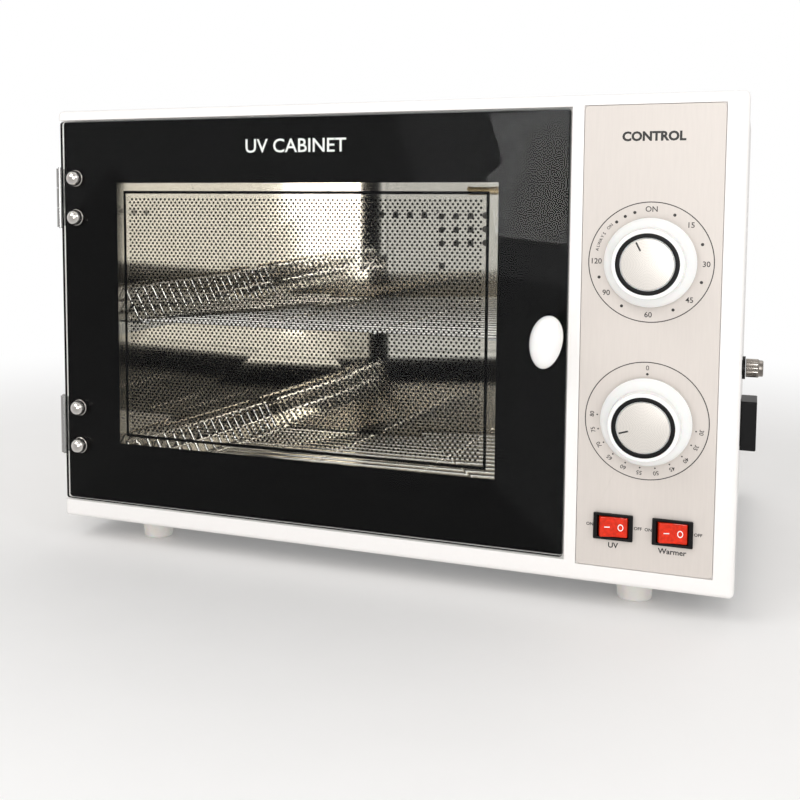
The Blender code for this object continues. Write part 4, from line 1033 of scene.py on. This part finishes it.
class StageSettings(bpy.types.PropertyGroup):
    """Light and camera of the studio."""

    floor_colour: bpy.props.FloatVectorProperty(
        name="Floor", description="Colour of the studio floor", subtype="COLOR", size=3, min=0, max=1,
        default=(0.94, 0.935, 0.93))
    fade_start: bpy.props.FloatProperty(
        name="Fade Start", description="Distance at which the floor starts to fade to white", default=0.3,
        unit="LENGTH")
    fade_end: bpy.props.FloatProperty(
        name="Fade End", description="Distance at which the floor is white", default=0.95, unit="LENGTH")
    sky_light: bpy.props.FloatProperty(
        name="Back Light", description="Strength of the soft light from behind", default=0.7)
    front_light: bpy.props.FloatProperty(
        name="Front Light", description="Strength of the soft light from the front", default=0.4)
    key_power: bpy.props.FloatProperty(
        name="Key Power", description="Power of the large softbox in watts", default=7.7)
    focal_length: bpy.props.FloatProperty(
        name="Focal Length", description="Focal length of the camera in millimetres", default=50.0)
    shift: bpy.props.FloatVectorProperty(
        name="Lens Shift", description="Sideways and upward shift of the lens", size=2,
        default=(0.115, -0.1425))
    camera_offset: bpy.props.FloatVectorProperty(
        name="Camera Offset", description="Camera place from the middle of the front's foot", size=3,
        subtype="TRANSLATION", default=(0.2155, -0.6198, 0.2348))
    camera_drop: bpy.props.FloatProperty(
        name="Camera Drop", description="How far the camera looks down", subtype="ANGLE",
        default=math.radians(4.95))
    camera_turn: bpy.props.FloatProperty(
        name="Camera Turn", description="How far the camera turns to the hinge side", subtype="ANGLE",
        default=math.radians(21.93))


# ---------------------------------------------------------------- operators


class CABINET_OT_finishes(bpy.types.Operator):
    """Mix every finish of the cabinet"""

    bl_idname = "cabinet.finishes"
    bl_label = "Mix Finishes"

    def execute(self, context):
        scene = context.scene
        FINISHES.update(make_finishes(scene.cabinet_casing, scene.cabinet_door, scene.cabinet_controls))
        for name in ("timer", "thermostat"):
            FINISHES[f"champagne_{name}"] = finish(
                f"champagne_{name}", (0.76, 0.72, 0.67), 0.32, 0.35, pattern="turned", size=2.4 * MM,
                centre=middle(f"{name}_shaft"), tone=0.012, gloss_change=0.05)
        return {"FINISHED"}


class CABINET_OT_casing(bpy.types.Operator):
    """Build the enamelled casing and its feet"""

    bl_idname = "cabinet.casing"
    bl_label = "Build Casing"

    def execute(self, context):
        make_shell(context.scene.cabinet_casing)
        make_rear_screws()
        for corner in ("front_left", "front_right", "rear_left", "rear_right"):
            make_foot(corner)
        return {"FINISHED"}


class CABINET_OT_chamber(bpy.types.Operator):
    """Build the chamber, its wire baskets and the lamp"""

    bl_idname = "cabinet.chamber"
    bl_label = "Build Chamber"

    def execute(self, context):
        make_baskets(context.scene.cabinet_casing)
        make_lamp()
        dress("mirror_steel", "chamber_liner", "lamp_reflector")
        dress("steel", "basket_rail_left", "basket_rail_right")
        dress("socket", "lamp_socket_left", "lamp_socket_right")
        dress("mica", "heater_plate")
        dress("brass", "thermostat_sensor")
        return {"FINISHED"}


class CABINET_OT_door(bpy.types.Operator):
    """Build the printed glass door, its pull and its hinges"""

    bl_idname = "cabinet.door"
    bl_label = "Build Door"

    def execute(self, context):
        make_door_pane()
        make_door_print(context.scene.cabinet_door)
        make_pull()
        for level in ("upper", "lower"):
            for place in ("top", "bottom"):
                make_dome_nut(f"{level}_hinge_nut_{place}")
            for leaf in ("door", "frame"):
                refined(f"{level}_{leaf}_leaf", f"{level}_{leaf}_hinge_leaf", "steel",
                        0.15 * MM, "door" if leaf == "door" else "cabinet", 2)
            dress("steel", f"{level}_hinge_pin")
        dress("galvanised", "strike_plate")
        dress("steel", "handle_screw")
        return {"FINISHED"}


class CABINET_OT_controls(bpy.types.Operator):
    """Build the control plate, its print and the two knobs"""

    bl_idname = "cabinet.controls"
    bl_label = "Build Controls"

    def execute(self, context):
        controls = context.scene.cabinet_controls
        make_control_plate()
        make_timer_print(controls)
        make_thermostat_print(controls)
        make_plate_words(controls)
        make_knob("timer", controls.timer_angle)
        make_knob("thermostat", controls.thermostat_angle)
        dress("brass", "timer_shaft", "thermostat_shaft")
        return {"FINISHED"}


class CABINET_OT_switches(bpy.types.Operator):
    """Build the two rocker switches and the door switch"""

    bl_idname = "cabinet.switches"
    bl_label = "Build Switches"

    def execute(self, context):
        make_switch("uv")
        make_switch("warmer")
        dress("gloss", "door_switch_plunger")
        dress("dark", "door_switch_body", "magnetic_catch")
        return {"FINISHED"}


class CABINET_OT_side_fittings(bpy.types.Operator):
    """Build the fuse holder and the power inlet"""

    bl_idname = "cabinet.side_fittings"
    bl_label = "Build Side Fittings"

    def execute(self, context):
        make_fuse_cap()
        make_power_inlet()
        dress("black", "fuse_holder")
        dress("quartz", "fuse")
        return {"FINISHED"}


class CABINET_OT_inner_works(bpy.types.Operator):
    """Give the parts behind the control plate their finishes"""

    bl_idname = "cabinet.inner_works"
    bl_label = "Dress Inner Works"

    def execute(self, context):
        dress("movement", "timer_movement", "thermostat_body")
        dress("case", "ballast")
        dress("socket", "starter_socket", "terminal_block")
        dress("gloss", "lamp_starter")
        return {"FINISHED"}


class CABINET_OT_stage(bpy.types.Operator):
    """Set the pale floor, the soft light and the camera"""

    bl_idname = "cabinet.stage"
    bl_label = "Set Stage"

    def execute(self, context):
        for make in (make_floor, make_surroundings, make_softboxes, make_camera):
            make(context.scene.cabinet_stage)
        return {"FINISHED"}


STEPS = ("finishes", "casing", "chamber", "door", "controls", "switches", "side_fittings", "inner_works",
         "stage")


class CABINET_PT_panel(bpy.types.Panel):
    """Steps of the cabinet's build, in order"""

    bl_idname = "CABINET_PT_panel"
    bl_label = "UV Cabinet"
    bl_space_type = "VIEW_3D"
    bl_region_type = "UI"
    bl_category = "UV Cabinet"

    def draw(self, context):
        for step in STEPS:
            self.layout.operator(f"cabinet.{step}")


SETTINGS = {
    "cabinet_casing": CasingSettings, "cabinet_door": DoorSettings,
    "cabinet_controls": ControlSettings, "cabinet_stage": StageSettings,
}
CLASSES = (
    *SETTINGS.values(), CABINET_OT_finishes, CABINET_OT_casing, CABINET_OT_chamber, CABINET_OT_door,
    CABINET_OT_controls, CABINET_OT_switches, CABINET_OT_side_fittings, CABINET_OT_inner_works,
    CABINET_OT_stage, CABINET_PT_panel,
)


def register():
    for cls in CLASSES:
        bpy.utils.register_class(cls)
    for name, group in SETTINGS.items():
        setattr(bpy.types.Scene, name, bpy.props.PointerProperty(type=group))


def unregister():
    for name in SETTINGS:
        delattr(bpy.types.Scene, name)
    for cls in reversed(CLASSES):
        bpy.utils.unregister_class(cls)


def main():
    register()
    for step in STEPS:
        getattr(bpy.ops.cabinet, step)()


if __name__ == "__main__":
    main()
